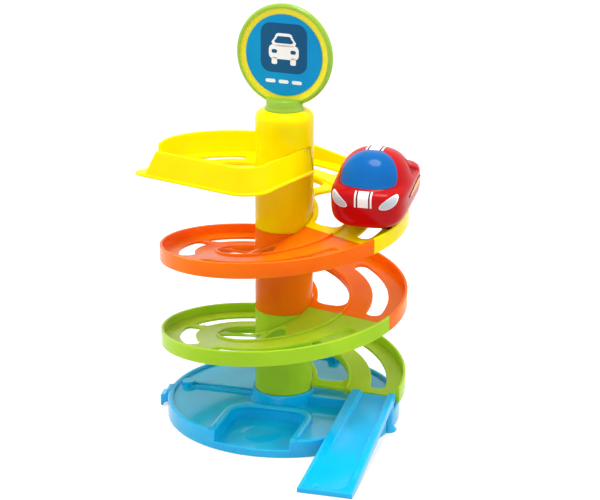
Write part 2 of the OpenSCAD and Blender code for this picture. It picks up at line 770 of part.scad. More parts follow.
// Bearing blocks of the axles, between the wheels
bearing_gap = 3;
bearing_w = wheel_gauge - wheel_w - 2*bearing_gap;
bearing_l = 8;
screw_at = 6;
screw_r = 2.6;
screw_sunk = 0.2;
module car_chassis() color("#8e9499") on_track() {
    difference() {
        union() {
            translate([0, 0, car_clear]) linear_extrude(chassis_t) difference() {
                rounded_rect(chassis_w, chassis_l, chassis_r);
                for (x = [-1, 1], y = [-1, 1]) translate([x*wheel_gauge/2, y*wheelbase/2])
                    square([well_w, 2*well_r], center = true);
            }
            for (y = [-1, 1]) translate([-bearing_w/2, y*wheelbase/2 - bearing_l/2, axle_z - axle_d])
                cube([bearing_w, bearing_l, car_clear - axle_z + axle_d + chassis_t]);
        }
        for (y = [-1, 1]) translate([-car_w, y*wheelbase/2, axle_z]) rotate([0, 90, 0])
            cylinder(d = axle_d + 2*axle_gap, h = 2*car_w);
        for (y = [-1, 1]) translate([0, y*screw_at, car_clear - 1])
            cylinder(r = screw_r + car_fit, h = 1 + chassis_t/2);
    }
}

module chassis_screws() color("silver") on_track()
    for (y = [-1, 1]) translate([0, y*screw_at, car_clear + screw_sunk])
        cylinder(r = screw_r, h = chassis_t/2 - screw_sunk);

// A closed patch that lies on the body: spot(u, v, m) gives the corner of its
// inner (m = 0) or outer (m = 1) face for u and v from -1 to 1.
module skin_patch(nu, nv, spot) {
    warped_cells([nv, nu, 1], function(j, i, m) spot(-1 + 2*i/nu, -1 + 2*j/nv, m), all_filled);
}
// Facets of the body dip below its true skin, so a sticker starts just above it.
function lift(m, t = sticker_t) = car_fit + m*t;

// Domed windshield: middle, half length and half width, and the dome's rise over its edge
screen_y = -17;
screen_l = 16.4;
screen_w = 23;
screen_t = 0.6;
screen_dome = 1.2;
screen_lift = 0.5;
module car_windshield() color("#0a6fca") on_track()
    skin_patch(14, 12, function(u, v, m)
        let (y = screen_y + screen_l*u, x = screen_w*v*(1 - 0.1*u)*sqrt(1.02 - 0.9*u*u))
        skin(y, top_dir(x, y), screen_lift + lift(m, screen_t + screen_dome*(1 - u*u)*(1 - v*v))));

// Leaf-shaped headlights that climb outwards: middle, half width, half height and climb
lamp_at = [22, 7];
lamp_w = 8;
lamp_h = 3.6;
lamp_climb = 4;
lamp_lift = 0.6;
module car_headlights() color("#c9ced2") on_track() for (side = [0, 1]) mirror([side, 0, 0])
    skin_patch(10, 4, function(u, v, m)
        let (x = lamp_at.x + lamp_w*u, z = belt_z + lamp_at.y + lamp_climb*u + lamp_h*v*sqrt(1.04 - u*u))
        [x, nose_y(x, z) - lamp_lift - lift(m), z]);

// Stripes: width, ends on the nose over the belt and on the roof
stripe_w = 15;
hood_stripe = [3, 14.6];
hood_lift = 0.3;
roof_stripe = [1, 30];
module car_hood_stripes() color("white") on_track()
    skin_patch(8, 4, function(u, v, m)
        let (x = stripe_w/2*v, z = belt_z + (hood_stripe[0]*(1 - u) + hood_stripe[1]*(1 + u))/2)
        [x, nose_y(x, z) - hood_lift - lift(m), z]);
module car_roof_stripes() color("white") on_track()
    skin_patch(8, 4, function(u, v, m)
        let (y = (roof_stripe[0]*(1 - u) + roof_stripe[1]*(1 + u))/2)
        skin(y, top_dir(stripe_w/2*v, y), lift(m)));

// Bow-shaped side stickers along the belt: middle, half length and half height
side_at = [10, 2];
side_l = 23;
side_h = 3.2;
module car_side_stickers() color("#e9a23b") on_track() for (side = [0, 1]) mirror([side, 0, 0])
    skin_patch(8, 3, function(u, v, m)
        let (y = side_at.x + side_l*u, z = belt_z + side_at.y + side_h*v*(0.6 + 0.3*u)*sqrt(1.04 - u*u))
        skin(y, side_dir(y, z), lift(m)));

// Wheel sets

tread_edge = 1;
tread_t = 2;
wheel_hub_t = 1.6;
wheel_dish = 1.6;
axle_l = wheel_gauge + wheel_w - wheel_dish;

module axle(y) on_track() translate([0, y*wheelbase/2, axle_z]) rotate([0, 90, 0])
    cylinder(d = axle_d, h = axle_l, center = true);

// Wheel turned about its axle: tread with rounded edges, dished face and hub.
module wheel(x, y) on_track() translate([x*wheel_gauge/2, y*wheelbase/2, axle_z]) rotate([0, 90*x, 0])
    rotate_extrude() difference() {
        union() {
            translate([axle_d/2, -wheel_w/2]) square([wheel_r - axle_d/2 - tread_edge, wheel_w]);
            translate([axle_d/2, -wheel_w/2 + tread_edge])
                square([wheel_r - axle_d/2, wheel_w - 2*tread_edge]);
            for (z = [-1, 1]) translate([wheel_r - tread_edge, z*(wheel_w/2 - tread_edge)])
                circle(r = tread_edge);
        }
        translate([axle_d/2 + wheel_hub_t, wheel_w/2 - wheel_dish])
            square([wheel_r - axle_d/2 - wheel_hub_t - tread_t, wheel_w]);
    }

module front_axle() color("silver") axle(-1);
module rear_axle() color("silver") axle(1);
module front_left_wheel() color("#2b2d30") wheel(1, -1);
module front_right_wheel() color("#2b2d30") wheel(-1, -1);
module rear_left_wheel() color("#2b2d30") wheel(1, 1);
module rear_right_wheel() color("#2b2d30") wheel(-1, 1);

base();
exit_ramp();
lower_column();
middle_column();
upper_column();
lower_track();
middle_track();
upper_track();
start_deck();
sign_panel();
sign_label_front();
sign_label_back();
car_shell();
car_chassis();
car_windshield();
car_headlights();
car_hood_stripes();
car_roof_stripes();
car_side_stickers();
chassis_screws();
front_axle();
front_left_wheel();
front_right_wheel();
rear_axle();
rear_left_wheel();
rear_right_wheel();
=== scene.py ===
# %% [markdown]
# A toy spiral car ramp: a round base with a parking bay, three stacked column tubes, a track that winds
# down round them in three colours, a start deck, a round sign and one car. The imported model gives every
# piece its real place and size, so this lesson starts from that frame and never moves it.

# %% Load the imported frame
import json
import math

import bmesh
import bpy
import numpy as np
from mathutils import Matrix, Vector

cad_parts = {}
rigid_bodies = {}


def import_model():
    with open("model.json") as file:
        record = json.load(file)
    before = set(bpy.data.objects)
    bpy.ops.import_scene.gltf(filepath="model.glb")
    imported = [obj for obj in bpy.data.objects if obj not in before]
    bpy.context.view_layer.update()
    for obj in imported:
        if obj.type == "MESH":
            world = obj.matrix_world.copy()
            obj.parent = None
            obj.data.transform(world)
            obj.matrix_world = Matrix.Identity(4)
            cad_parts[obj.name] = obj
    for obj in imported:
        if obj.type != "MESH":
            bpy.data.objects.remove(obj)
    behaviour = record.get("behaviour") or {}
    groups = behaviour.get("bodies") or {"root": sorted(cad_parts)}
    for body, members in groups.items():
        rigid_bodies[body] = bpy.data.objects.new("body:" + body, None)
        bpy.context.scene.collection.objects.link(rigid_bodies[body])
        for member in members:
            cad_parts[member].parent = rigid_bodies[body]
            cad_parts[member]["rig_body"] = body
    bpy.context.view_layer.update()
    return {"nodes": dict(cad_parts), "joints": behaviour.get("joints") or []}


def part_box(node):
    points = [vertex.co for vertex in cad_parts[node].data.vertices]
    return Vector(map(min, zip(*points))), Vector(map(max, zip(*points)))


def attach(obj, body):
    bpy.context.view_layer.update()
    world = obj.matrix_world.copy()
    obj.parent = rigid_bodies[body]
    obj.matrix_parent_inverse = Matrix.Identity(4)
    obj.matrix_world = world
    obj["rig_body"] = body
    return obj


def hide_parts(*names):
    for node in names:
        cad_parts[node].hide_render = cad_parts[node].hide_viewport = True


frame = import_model()
nodes = frame["nodes"]
MM = 0.001

# %% [markdown]
# The camera stands where the photographer stood. Its angles, its distance and its focal length in pixels
# were solved from the toy's own round edges: the seams of the column, the rims of the tracks and the base.

# %% Camera
IMAGE_W = 600
FOCAL_PX = 1962
SENSOR_W = 36
CLIP_NEAR, CLIP_FAR = 0.1, 50
CAMERA_AZIMUTH = math.radians(15.76)
CAMERA_ELEVATION = math.radians(18.49)
CAMERA_ROLL = math.radians(0.31)
CAMERA_DISTANCE = 1.690
AIM_RIGHT = 0.01366
AIM_HEIGHT = 0.14956


def add_object(name, data):
    obj = bpy.data.objects.new(name, data)
    bpy.context.scene.collection.objects.link(obj)
    return obj


def make_camera():
    data = bpy.data.cameras.new("camera")
    data.sensor_width = SENSOR_W
    data.lens = FOCAL_PX * data.sensor_width / IMAGE_W
    data.clip_start = CLIP_NEAR
    data.clip_end = CLIP_FAR
    camera = add_object("camera", data)
    back = Vector((math.sin(CAMERA_AZIMUTH) * math.cos(CAMERA_ELEVATION),
                   -math.cos(CAMERA_AZIMUTH) * math.cos(CAMERA_ELEVATION),
                   math.sin(CAMERA_ELEVATION)))
    right = Vector((math.cos(CAMERA_AZIMUTH), math.sin(CAMERA_AZIMUTH), 0))
    aim = right * AIM_RIGHT + Vector((0, 0, AIM_HEIGHT))
    camera.rotation_mode = "QUATERNION"
    turn = (-back).to_track_quat("-Z", "Y").to_matrix() @ Matrix.Rotation(CAMERA_ROLL, 3, "Z")
    camera.rotation_quaternion = turn.to_quaternion()
    camera.location = aim + back * CAMERA_DISTANCE
    bpy.context.scene.camera = camera
    return camera


camera = make_camera()
print("camera at", tuple(round(v, 3) for v in camera.location), "lens", round(camera.data.lens, 1), "mm")

# %% [markdown]
# A sky, a floor and a plastic are all trees of nodes. These helpers add a node with its settings and feed its
# inputs, so that each tree below reads as a list of what goes where.

# %% Node helpers


def feed(tree, node, inputs):
    """Gives a node's inputs what they take: a number, a colour or the output of another node."""
    for key, value in inputs.items():
        if isinstance(value, bpy.types.NodeSocket):
            tree.links.new(value, node.inputs[key])
        else:
            node.inputs[key].default_value = value


def add_node(tree, kind, inputs=None, **settings):
    node = tree.nodes.new(kind)
    for name, value in settings.items():
        setattr(node, name, value)
    feed(tree, node, inputs or {})
    return node


def empty_tree(owner):
    """The node tree of a new world or material, without the nodes that come with it."""
    owner.use_nodes = True
    owner.node_tree.nodes.clear()
    return owner.node_tree


print("trees are built for Blender", bpy.app.version_string)

# %% [markdown]
# The studio is a white sweep under an even white sky. A white surface under this light renders as about
# white, so each plastic shows about the colour that is written. Only rays that look at the background get
# its full white, whether they come from the camera, off a gloss or through a clear piece.

# %% Background
WORLD_LIGHT = 0.95
FLOOR_HALF = 4.0
FLOOR_DROP = 0.0003
FLOOR_DIFFUSE = 0.5
FLOOR_GLOW = 0.62
CORNERS = ((-1, -1), (1, -1), (1, 1), (-1, 1))


def seen_as_background(tree):
    """A value of 1 for rays that look at the background, from the camera, a gloss or a clear piece."""
    rays = add_node(tree, "ShaderNodeLightPath").outputs
    total = rays["Is Camera Ray"]
    for name in ("Is Glossy Ray", "Is Transmission Ray"):
        larger = add_node(tree, "ShaderNodeMath", {0: total, 1: rays[name]}, operation="MAXIMUM")
        total = larger.outputs[0]
    return total


def make_world():
    world = bpy.data.worlds.new("studio")
    bpy.context.scene.world = world
    tree = empty_tree(world)
    light = add_node(tree, "ShaderNodeBackground", {"Color": (1, 1, 1, 1), "Strength": WORLD_LIGHT})
    white = add_node(tree, "ShaderNodeBackground", {"Color": (1, 1, 1, 1)})
    mix = add_node(tree, "ShaderNodeMixShader",
                   {0: seen_as_background(tree), 1: light.outputs[0], 2: white.outputs[0]})
    add_node(tree, "ShaderNodeOutputWorld", {0: mix.outputs[0]})


def make_floor():
    mesh = bpy.data.meshes.new("floor")
    corners = [(x * FLOOR_HALF, y * FLOOR_HALF, -FLOOR_DROP) for x, y in CORNERS]
    mesh.from_pydata(corners, [], [(0, 1, 2, 3)])
    floor = add_object("floor", mesh)
    material = bpy.data.materials.new("white_sweep")
    tree = empty_tree(material)
    diffuse = add_node(tree, "ShaderNodeBsdfDiffuse", {"Color": (FLOOR_DIFFUSE,) * 3 + (1,)})
    seen = seen_as_background(tree)
    strength = add_node(tree, "ShaderNodeMath", {0: seen, 1: FLOOR_GLOW}, operation="MULTIPLY")
    glow = add_node(tree, "ShaderNodeEmission", {"Strength": strength.outputs[0]})
    both = add_node(tree, "ShaderNodeAddShader", {0: diffuse.outputs[0], 1: glow.outputs[0]})
    add_node(tree, "ShaderNodeOutputMaterial", {0: both.outputs[0]})
    mesh.materials.append(material)


make_world()
make_floor()
bpy.context.scene.view_settings.view_transform = "Standard"
print("sky strength:", WORLD_LIGHT, "floor:", 2 * FLOOR_HALF, "m wide")

# %% [markdown]
# Three large disc lamps model the forms, one at each side and one above. The side lamps stay out of the
# gloss, because bright discs on every wall would hide its colour. The one above gives the soft highlights.

# %% Lights
SOFT_BOXES = {
    # name: place, size, watts, seen in the gloss
    "left_light": ((-1.7, -0.5, 1.1), 1.2, 10, False),
    "right_light": ((1.8, 0.1, 0.9), 1.2, 9, False),
    "top_light": ((0.1, -0.2, 1.9), 0.8, 17, True),
}


def make_light(name, place, size, watts, in_gloss):
    data = bpy.data.lights.new(name, "AREA")
    data.shape = "DISK"
    data.size = size
    data.energy = watts
    lamp = add_object(name, data)
    lamp.location = place
    aim = Vector((0, 0, AIM_HEIGHT)) - Vector(place)
    lamp.rotation_mode = "QUATERNION"
    lamp.rotation_quaternion = aim.to_track_quat("-Z", "Y")
    lamp.visible_glossy = in_gloss


for light_name, light_values in SOFT_BOXES.items():
    make_light(light_name, *light_values)
print("lights:", list(SOFT_BOXES))

# %% [markdown]
# The toy is moulded from glossy coloured plastic. Real mouldings are never one flat colour: the melt flows
# in soft clouds, and the skin has a fine grain that breaks up the gloss. Both come from noise on the
# object's own coordinates, so the pattern stays on the piece when it turns.

# %% Noise and colour
NOISE_MIDDLE = (0.3, 0.7)


def srgb(red, green, blue):
    """A colour as an image editor shows it, 0 to 255, as the linear values that a shader takes."""
    def channel(v):
        v /= 255
        return v / 12.92 if v <= 0.04045 else ((v + 0.055) / 1.055) ** 2.4
    return (channel(red), channel(green), channel(blue), 1)


def new_material(name):
    material = bpy.data.materials.new(name)
    material.use_nodes = True
    tree = material.node_tree
    return material, tree, tree.nodes["Principled BSDF"]


def object_noise(tree, scale, detail=2.0):
    coords = add_node(tree, "ShaderNodeTexCoord").outputs["Object"]
    noise = add_node(tree, "ShaderNodeTexNoise", {"Vector": coords, "Scale": scale, "Detail": detail})
    return noise.outputs["Fac"]


def spread(tree, value, low, high):
    """Stretches the middle of a noise over a range."""
    first, last = NOISE_MIDDLE
    ends = {"From Min": first, "From Max": last, "To Min": low, "To Max": high}
    return add_node(tree, "ShaderNodeMapRange", {"Value": value, **ends}).outputs["Result"]


def two_tone(tree, value, first, second):
    mix = add_node(tree, "ShaderNodeMix", {"Factor": value, "A": first, "B": second}, data_type="RGBA")
    return mix.outputs["Result"]


print("a middle grey is", round(srgb(128, 128, 128)[0], 3), "to a shader")

# %% [markdown]
# One function makes every plastic but the sign's clear one, from two tones and a finish. The toy's walls let
# some light in, so they have subsurface scattering in their own colour. The prints and the car are opaque
# and do without. The pins and screws below are steel.

# %% Plastics
CLOUD_SCALE = 22
GRAIN_SCALE = 900
GRAIN_DEPTH = 0.2 * MM
ROUGH_SPREAD = 0.03
GLOW_DEPTH = 8 * MM
COAT_ROUGH = 0.06
TOY_WALL = {"rough": 0.2, "glow": 0.6, "shine": 0.09}
DRAWN_SCALE = 300
STEEL_ROUGH = (0.25, 0.4)


def plastic(name, dark, light, rough=0.3, glow=0.0, coat=0.0, grain=0.01, shine=0.25):
    """Moulded plastic that clouds from dark to light, with grain in its gloss and light inside its walls."""
    material, tree, shader = new_material(name)
    clouds = spread(tree, object_noise(tree, CLOUD_SCALE), 0, 1)
    fine = object_noise(tree, GRAIN_SCALE, detail=1.0)
    bump = add_node(tree, "ShaderNodeBump", {"Height": fine, "Strength": grain, "Distance": GRAIN_DEPTH})
    feed(tree, shader, {"Base Color": two_tone(tree, clouds, dark, light),
                        "Roughness": spread(tree, fine, rough - ROUGH_SPREAD, rough + ROUGH_SPREAD),
                        "Specular IOR Level": shine, "Normal": bump.outputs["Normal"]})
    if glow:
        feed(tree, shader, {"Subsurface Weight": glow, "Subsurface Radius": light[:3],
                            "Subsurface Scale": GLOW_DEPTH})
    if coat:
        feed(tree, shader, {"Coat Weight": coat, "Coat Roughness": COAT_ROUGH})
    return material


yellow_plastic = plastic("yellow_plastic", srgb(254, 214, 0), srgb(255, 228, 0), **TOY_WALL)
orange_plastic = plastic("orange_plastic", srgb(248, 108, 8), srgb(253, 126, 12), **TOY_WALL)
lime_plastic = plastic("lime_plastic", srgb(158, 201, 38), srgb(174, 213, 46), **TOY_WALL)
blue_plastic = plastic("blue_plastic", srgb(0, 176, 234), srgb(2, 188, 244), rough=0.12, glow=0.4, shine=0.4)
red_plastic = plastic("red_plastic", srgb(178, 2, 8), srgb(192, 4, 12), rough=0.2, coat=0.05, shine=0.12)
# Dark red: the printed outline round the side stickers, and painted shadow in the gaps between the stripes
dark_red_print_and_shade = plastic("dark_red_print_and_shade", srgb(96, 4, 10), srgb(112, 6, 14), rough=0.35, shine=0.12)
# Painted shade: a darker red for the floors of the sunk side windows, where the red body lies in shadow
window_painted_shade = plastic("window_painted_shade", srgb(140, 4, 14), srgb(152, 6, 18), rough=0.3, shine=0.12)
dome_plastic = plastic("dome_plastic", srgb(0, 90, 162), srgb(0, 106, 180), rough=0.16, coat=0.08, shine=0.12)
grey_plastic = plastic("grey_plastic", srgb(132, 138, 144), srgb(146, 152, 158), rough=0.45, grain=0.08)
black_plastic = plastic("black_plastic", srgb(34, 35, 38), srgb(44, 46, 50), rough=0.5, grain=0.15)
white_print = plastic("white_print", srgb(236, 236, 236), srgb(244, 244, 244), rough=0.25)
silver_print = plastic("silver_print", srgb(176, 184, 192), srgb(204, 210, 216), rough=0.22)
amber_print = plastic("amber_print", srgb(232, 150, 40), srgb(246, 186, 66), rough=0.25)
label_blue = plastic("label_blue", srgb(0, 140, 200), srgb(0, 150, 208), rough=0.3, shine=0.15)
label_navy = plastic("label_navy", srgb(10, 78, 122), srgb(14, 86, 130), rough=0.3, shine=0.15)


def steel():
    """Plain drawn steel: a metal with an uneven gloss."""
    material, tree, shader = new_material("steel")
    gloss = spread(tree, object_noise(tree, DRAWN_SCALE), *STEEL_ROUGH)
    feed(tree, shader, {"Metallic": 1, "Base Color": srgb(196, 198, 202), "Roughness": gloss})
    return material


plain_steel = steel()
print("materials:", len(bpy.data.materials))

# %% [markdown]
# Every finished piece is one mesh whose object sits at the origin. The first helper gives it its material,
# smooth shading that breaks at true edges, the body that carries it and the solid that it stands for. The
# others make the object, even out its shading and clean up its mesh. Most pieces come straight from points
# and faces, and the last helper makes, cleans up and finishes such a piece in one call.

# %% Finishing a piece
SHARP_ANGLE = math.radians(48)
MERGE = 0.002 * MM


def finish_piece(obj, material, body, slot, stands_for=()):
    mesh = obj.data
    mesh.materials.clear()
    mesh.materials.append(material)
    mesh.shade_smooth()
    mesh.set_sharp_from_angle(angle=SHARP_ANGLE)
    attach(obj, body)
    if stands_for:
        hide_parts(*stands_for)
    return obj


def mesh_piece(name, points, faces):
    mesh = bpy.data.meshes.new(name)
    mesh.from_pydata([tuple(p) for p in points], [], [tuple(f) for f in faces])
    mesh.update()
    return add_object(name, mesh)


def even_normals(obj):
    """Lets the large faces rule the shading, so that narrow rounded edges look round and flats look flat."""
    weighted = obj.modifiers.new("even_normals", "WEIGHTED_NORMAL")
    weighted.keep_sharp = True
    return obj


def clean_up(obj):
    """Merges points that meet, drops loose ones and turns all faces outwards."""
    grid = bmesh.new()
    grid.from_mesh(obj.data)
    bmesh.ops.remove_doubles(grid, verts=grid.verts, dist=MERGE)
    bmesh.ops.delete(grid, geom=[v for v in grid.verts if not v.link_faces], context="VERTS")
    bmesh.ops.recalc_face_normals(grid, faces=grid.faces)
    grid.to_mesh(obj.data)
    grid.free()


def new_piece(name, points, faces, material, body, slot, stands_for=(), place=Matrix.Identity(4)):
    obj = mesh_piece(name, points, faces)
    clean_up(obj)
    obj.data.transform(place)
    return finish_piece(obj, material, body, slot, stands_for)


print("edges stay sharp over", round(math.degrees(SHARP_ANGLE)), "degrees")

# %% [markdown]
# Many pieces are points that follow a rule, so what is left to do is to number their faces. Four forms come
# back: a turned solid, a tube of rings, a slab between two grids and a flat plate. Blender's own operators
# could make them too, but faces that are numbered here come out the same on every run.

# %% Numbered faces
TURN_STEPS = 160


def turned(profile):
    """Points and faces of a closed solid that is turned round the Z axis from a row of (radius, height)."""
    circle = [(math.cos(2 * math.pi * k / TURN_STEPS), math.sin(2 * math.pi * k / TURN_STEPS))
              for k in range(TURN_STEPS)]
    points = [(0, 0, profile[0][1]), (0, 0, profile[-1][1])]
    for r, z in profile:
        points += [(r * x, r * y, z) for x, y in circle]
    last = (len(profile) - 1) * TURN_STEPS
    faces = []
    for k in range(TURN_STEPS):
        a, b = 2 + k, 2 + (k + 1) % TURN_STEPS
        faces += [(0, b, a), (1, last + a, last + b)]
        for low in range(0, last, TURN_STEPS):
            high = low + TURN_STEPS
            faces.append((low + a, low + b, high + b, high + a))
    return points, faces


def ring_faces(rings, around):
    """Faces of an open tube whose rings of points follow one another."""
    faces = []
    for first in range(0, (rings - 1) * around, around):
        for k in range(around):
            a, b = first + k, first + (k + 1) % around
            faces.append((a, b, b + around, a + around))
    return faces


def slab_faces(rows, columns):
    """Faces of a closed slab: a lower grid of points, an upper grid after it and the rim between them."""
    layer = rows * columns
    faces = []
    for i in range(rows - 1):
        for j in range(columns - 1):
            a = i * columns + j
            b = a + columns
            faces.append((a, b, b + 1, a + 1))
            faces.append((layer + a, layer + a + 1, layer + b + 1, layer + b))
    rim = list(range(columns - 1)) + [i * columns + columns - 1 for i in range(rows - 1)]
    rim += [(rows - 1) * columns + j for j in range(columns - 1, 0, -1)]
    rim += [i * columns for i in range(rows - 1, 0, -1)]
    for a, b in zip(rim, rim[1:] + rim[:1]):
        faces.append((a, b, layer + b, layer + a))
    return faces


def plate(outline, low, high):
    """Points and faces of a flat plate: an outline at two heights, closed above, below and round its side."""
    n = len(outline)
    points = [(x, y, z) for z in (low, high) for x, y in outline]
    faces = [tuple(range(n, 2 * n)), tuple(range(n - 1, -1, -1))]
    faces += [(k, (k + 1) % n, n + (k + 1) % n, n + k) for k in range(n)]
    return points, faces


def joined(parts):
    """One row of points and one of faces from several pairs of them."""
    points, faces = [], []
    for part_points, part_faces in parts:
        first = len(points)
        points += part_points
        faces += [[first + v for v in face] for face in part_faces]
    return points, faces


print("faces of a slab on 3 by 3 points:", len(slab_faces(3, 3)))

# %% [markdown]
# The turned and moulded solids (base, tubes, deck, chassis, wheels, axles, screws) already have the right
# shape. What they lack is the small radius that a mould leaves on every edge. A merged copy of each solid
# gets it from a Bevel modifier that only acts on true edges.

# %% Softened copies of the solids
FLAT = math.radians(0.6)
EDGE_ANGLE = math.radians(32)
BEVEL_STEPS = 2


def softened(node, material, slot, radius):
    body = nodes[node]["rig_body"]
    grid = bmesh.new()
    grid.from_mesh(nodes[node].data)
    bmesh.ops.remove_doubles(grid, verts=grid.verts, dist=MERGE)
    bmesh.ops.dissolve_limit(grid, angle_limit=FLAT, verts=grid.verts, edges=grid.edges)
    bmesh.ops.triangulate(grid, faces=[f for f in grid.faces if len(f.verts) > 4])
    mesh = bpy.data.meshes.new(node + "_soft")
    grid.to_mesh(mesh)
    grid.free()
    obj = add_object(node + "_soft", mesh)
    finish_piece(obj, material, body, slot, [node])
    bevel = obj.modifiers.new("moulded_edge", "BEVEL")
    bevel.width = radius
    bevel.segments = BEVEL_STEPS
    bevel.limit_method = "ANGLE"
    bevel.angle_limit = EDGE_ANGLE
    bevel.use_clamp_overlap = False
    bevel.loop_slide = False
    return even_normals(obj)


SOFT_SOLIDS = [
    ("base", blue_plastic, "blue_plastic", 0.6 * MM),
    ("lower_column", lime_plastic, "lime_plastic", 0.4 * MM),
    ("middle_column", orange_plastic, "orange_plastic", 0.4 * MM),
    ("upper_column", yellow_plastic, "yellow_plastic", 0.4 * MM),
    ("start_deck", yellow_plastic, "yellow_plastic", 0.9 * MM),
    ("car_chassis", grey_plastic, "grey_plastic", 0.3 * MM),
]
SOFT_SOLIDS += [(end + side + "_wheel", black_plastic, "black_plastic", 0.25 * MM)
                for end in ("front", "rear") for side in ("_left", "_right")]
SOFT_SOLIDS += [(pin, plain_steel, "steel", 0.15 * MM)
                for pin in ("front_axle", "rear_axle", "chassis_screws")]
for soft_solid in SOFT_SOLIDS:
    softened(*soft_solid)
print("softened:", [row[0] for row in SOFT_SOLIDS])

# %% [markdown]
# The frame round the parking bay is a full round ridge. It is an oval section, swept along a U whose corners
# are round. A bevelled curve could do that too, but here the front ends run out in a dome, so each ring of
# the sweep has its own size.

# %% Bay ridge
# Plan of the U, its section and the domes of its ends, in millimetres
RIDGE_HALF, RIDGE_BACK, RIDGE_FRONT, RIDGE_CORNER = 36.0, -31.0, -92.0, 19.0
RIDGE_SIDE, RIDGE_UP, RIDGE_Z, RIDGE_POWER = 3.4, 2.4, 14.6, 2.5
RIDGE_DOME = 5.0
RIDGE_ROUND, DOME_STEPS, RUN_STEPS, BEND_STEPS = 32, 8, 12, 19


def quarter_round(steps):
    """Shares from 0 to 1, close together at first, as the heights of points round a quarter circle are."""
    return [1 - math.cos(math.pi / 2 * k / steps) for k in range(steps + 1)]


def ridge_path():
    """The U from its left front end to its right one."""
    turn = RIDGE_BACK - RIDGE_CORNER
    left = [(-RIDGE_HALF, RIDGE_FRONT + RIDGE_DOME * share) for share in quarter_round(DOME_STEPS)]
    left += [(-RIDGE_HALF, y) for y in np.linspace(RIDGE_FRONT + RIDGE_DOME, turn, RUN_STEPS)[1:-1]]
    left += [(-RIDGE_HALF + RIDGE_CORNER * (1 - math.cos(a)), turn + RIDGE_CORNER * math.sin(a))
             for a in np.linspace(0, math.pi / 2, BEND_STEPS)]
    return left + [(-x, y) for x, y in reversed(left)]


def ridge_section():
    """Sideways and upward shares round the section, a superellipse."""
    turns = [2 * math.pi * k / RIDGE_ROUND for k in range(RIDGE_ROUND)]
    return [[math.copysign(abs(v) ** (2 / RIDGE_POWER), v) for v in (math.cos(turn), math.sin(turn))]
            for turn in turns]


def make_bay_ridge():
    path = ridge_path()
    points = []
    for i, (x, y) in enumerate(path):
        before, after = path[max(0, i - 1)], path[min(len(path) - 1, i + 1)]
        ahead = Vector((after[0] - before[0], after[1] - before[1])).normalized()
        size = math.sqrt(max(0, 1 - (1 - min(1, (y - RIDGE_FRONT) / RIDGE_DOME)) ** 2))
        for side, up in ridge_section():
            points.append(Vector((x + ahead.y * side * RIDGE_SIDE * size,
                                  y - ahead.x * side * RIDGE_SIDE * size,
                                  RIDGE_Z + up * RIDGE_UP * size)) * MM)
    faces = ring_faces(len(path), RIDGE_ROUND)
    return new_piece("bay_ridge", points, faces, blue_plastic, "tower", "blue_plastic")


ridge = make_bay_ridge()
print("bay ridge faces:", len(ridge.data.polygons))

# %% [markdown]
# The exit ramp is a sloped plate with a sunk pan. Its top is a height over a plan: the floor climbs evenly,
# and a kerb stands wherever the distance to the pan, a rectangle with round corners, is over zero. The left
# kerb dies away towards the ground, and only a thin lip goes on. Bevels on a box would pinch where the pan's
# corners come close to the rounded edge, and a height can't.

# %% Height of the exit ramp
# Sizes in millimetres, with distances along the ramp from its tip
RAMP_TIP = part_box("exit_ramp")[0].y / MM
RAMP_LONG, RAMP_LEFT, RAMP_TAPER, RAMP_RIGHT = 148.0, 57.0, 7.5, 103.0
RAMP_FLOOR, RAMP_CLIMB = 3.4, 25.6
RAMP_KERB, RAMP_KERB_GROWTH = 1.2, 1.8
PAN_LEFT, PAN_RIGHT, PAN_TIP, PAN_CORNER, PAN_SOFT = 9.0, 6.0, 5.0, 12.0, 2.0
FADE_ALONG, FADE_ACROSS = (0.3, 0.62), (-6.0, -1.2)
LIP, LIP_SHARE = 3.0, 0.8
RAMP_EDGE = 1.2
TIP_FLAT, RAMP_UNDER = 12.0, 25.0


def ease(low, high, value):
    """A smooth step from 0 at low to 1 at high."""
    t = min(1, max(0, (value - low) / (high - low)))
    return t * t * (3 - 2 * t)


def ramp_top(x, along):
    """Height of the ramp's upper face over a point of its plan."""
    share = along / RAMP_LONG
    left = RAMP_LEFT + RAMP_TAPER * share
    pan_low, pan_high = left + PAN_LEFT, RAMP_RIGHT - PAN_RIGHT
    across = abs(x - (pan_low + pan_high) / 2) - (pan_high - pan_low) / 2 + PAN_CORNER
    forward = PAN_TIP + PAN_CORNER - along
    out = min(max(across, forward), 0) + math.hypot(max(across, 0), max(forward, 0)) - PAN_CORNER
    kerb = ease(-PAN_SOFT / 2, PAN_SOFT / 2, out)
    fade = 1 - (1 - ease(*FADE_ALONG, share)) * ease(*FADE_ACROSS, pan_low - x)
    lip = ease(-LIP, -LIP / 3, -min(x - left, along))
    kerb = max(kerb * fade, LIP_SHARE * lip)
    edge = min(RAMP_EDGE, max(0, RAMP_EDGE - min(x - left, RAMP_RIGHT - x, along)))
    round_off = RAMP_EDGE - math.sqrt(RAMP_EDGE ** 2 - edge ** 2)
    return RAMP_FLOOR + RAMP_CLIMB * share + kerb * (RAMP_KERB + RAMP_KERB_GROWTH * share) - round_off


def ramp_under(along):
    return RAMP_UNDER * max(0, along - TIP_FLAT) / (RAMP_LONG - TIP_FLAT)


print("ramp height at its top end:", round(ramp_top(RAMP_RIGHT - RAMP_EDGE, RAMP_LONG), 1), "mm")

# %% [markdown]
# The mesh is that height over a grid, which is finest near the rounded edges, with the under side below it.
# A flared leg stands under the high end, and two tongues go down into the base.

# %% Exit ramp
FINE_TIP, FINE_LEFT, FINE_RIGHT = 20.0, 12.0, 9.0
FINE_START, FINE_STEP, EDGE_STEPS = 1.3, 0.45, 6
RAMP_ROWS, RAMP_COLUMNS = 84, 24
LEG_X, LEG_ALONG = 98.0, 142.0
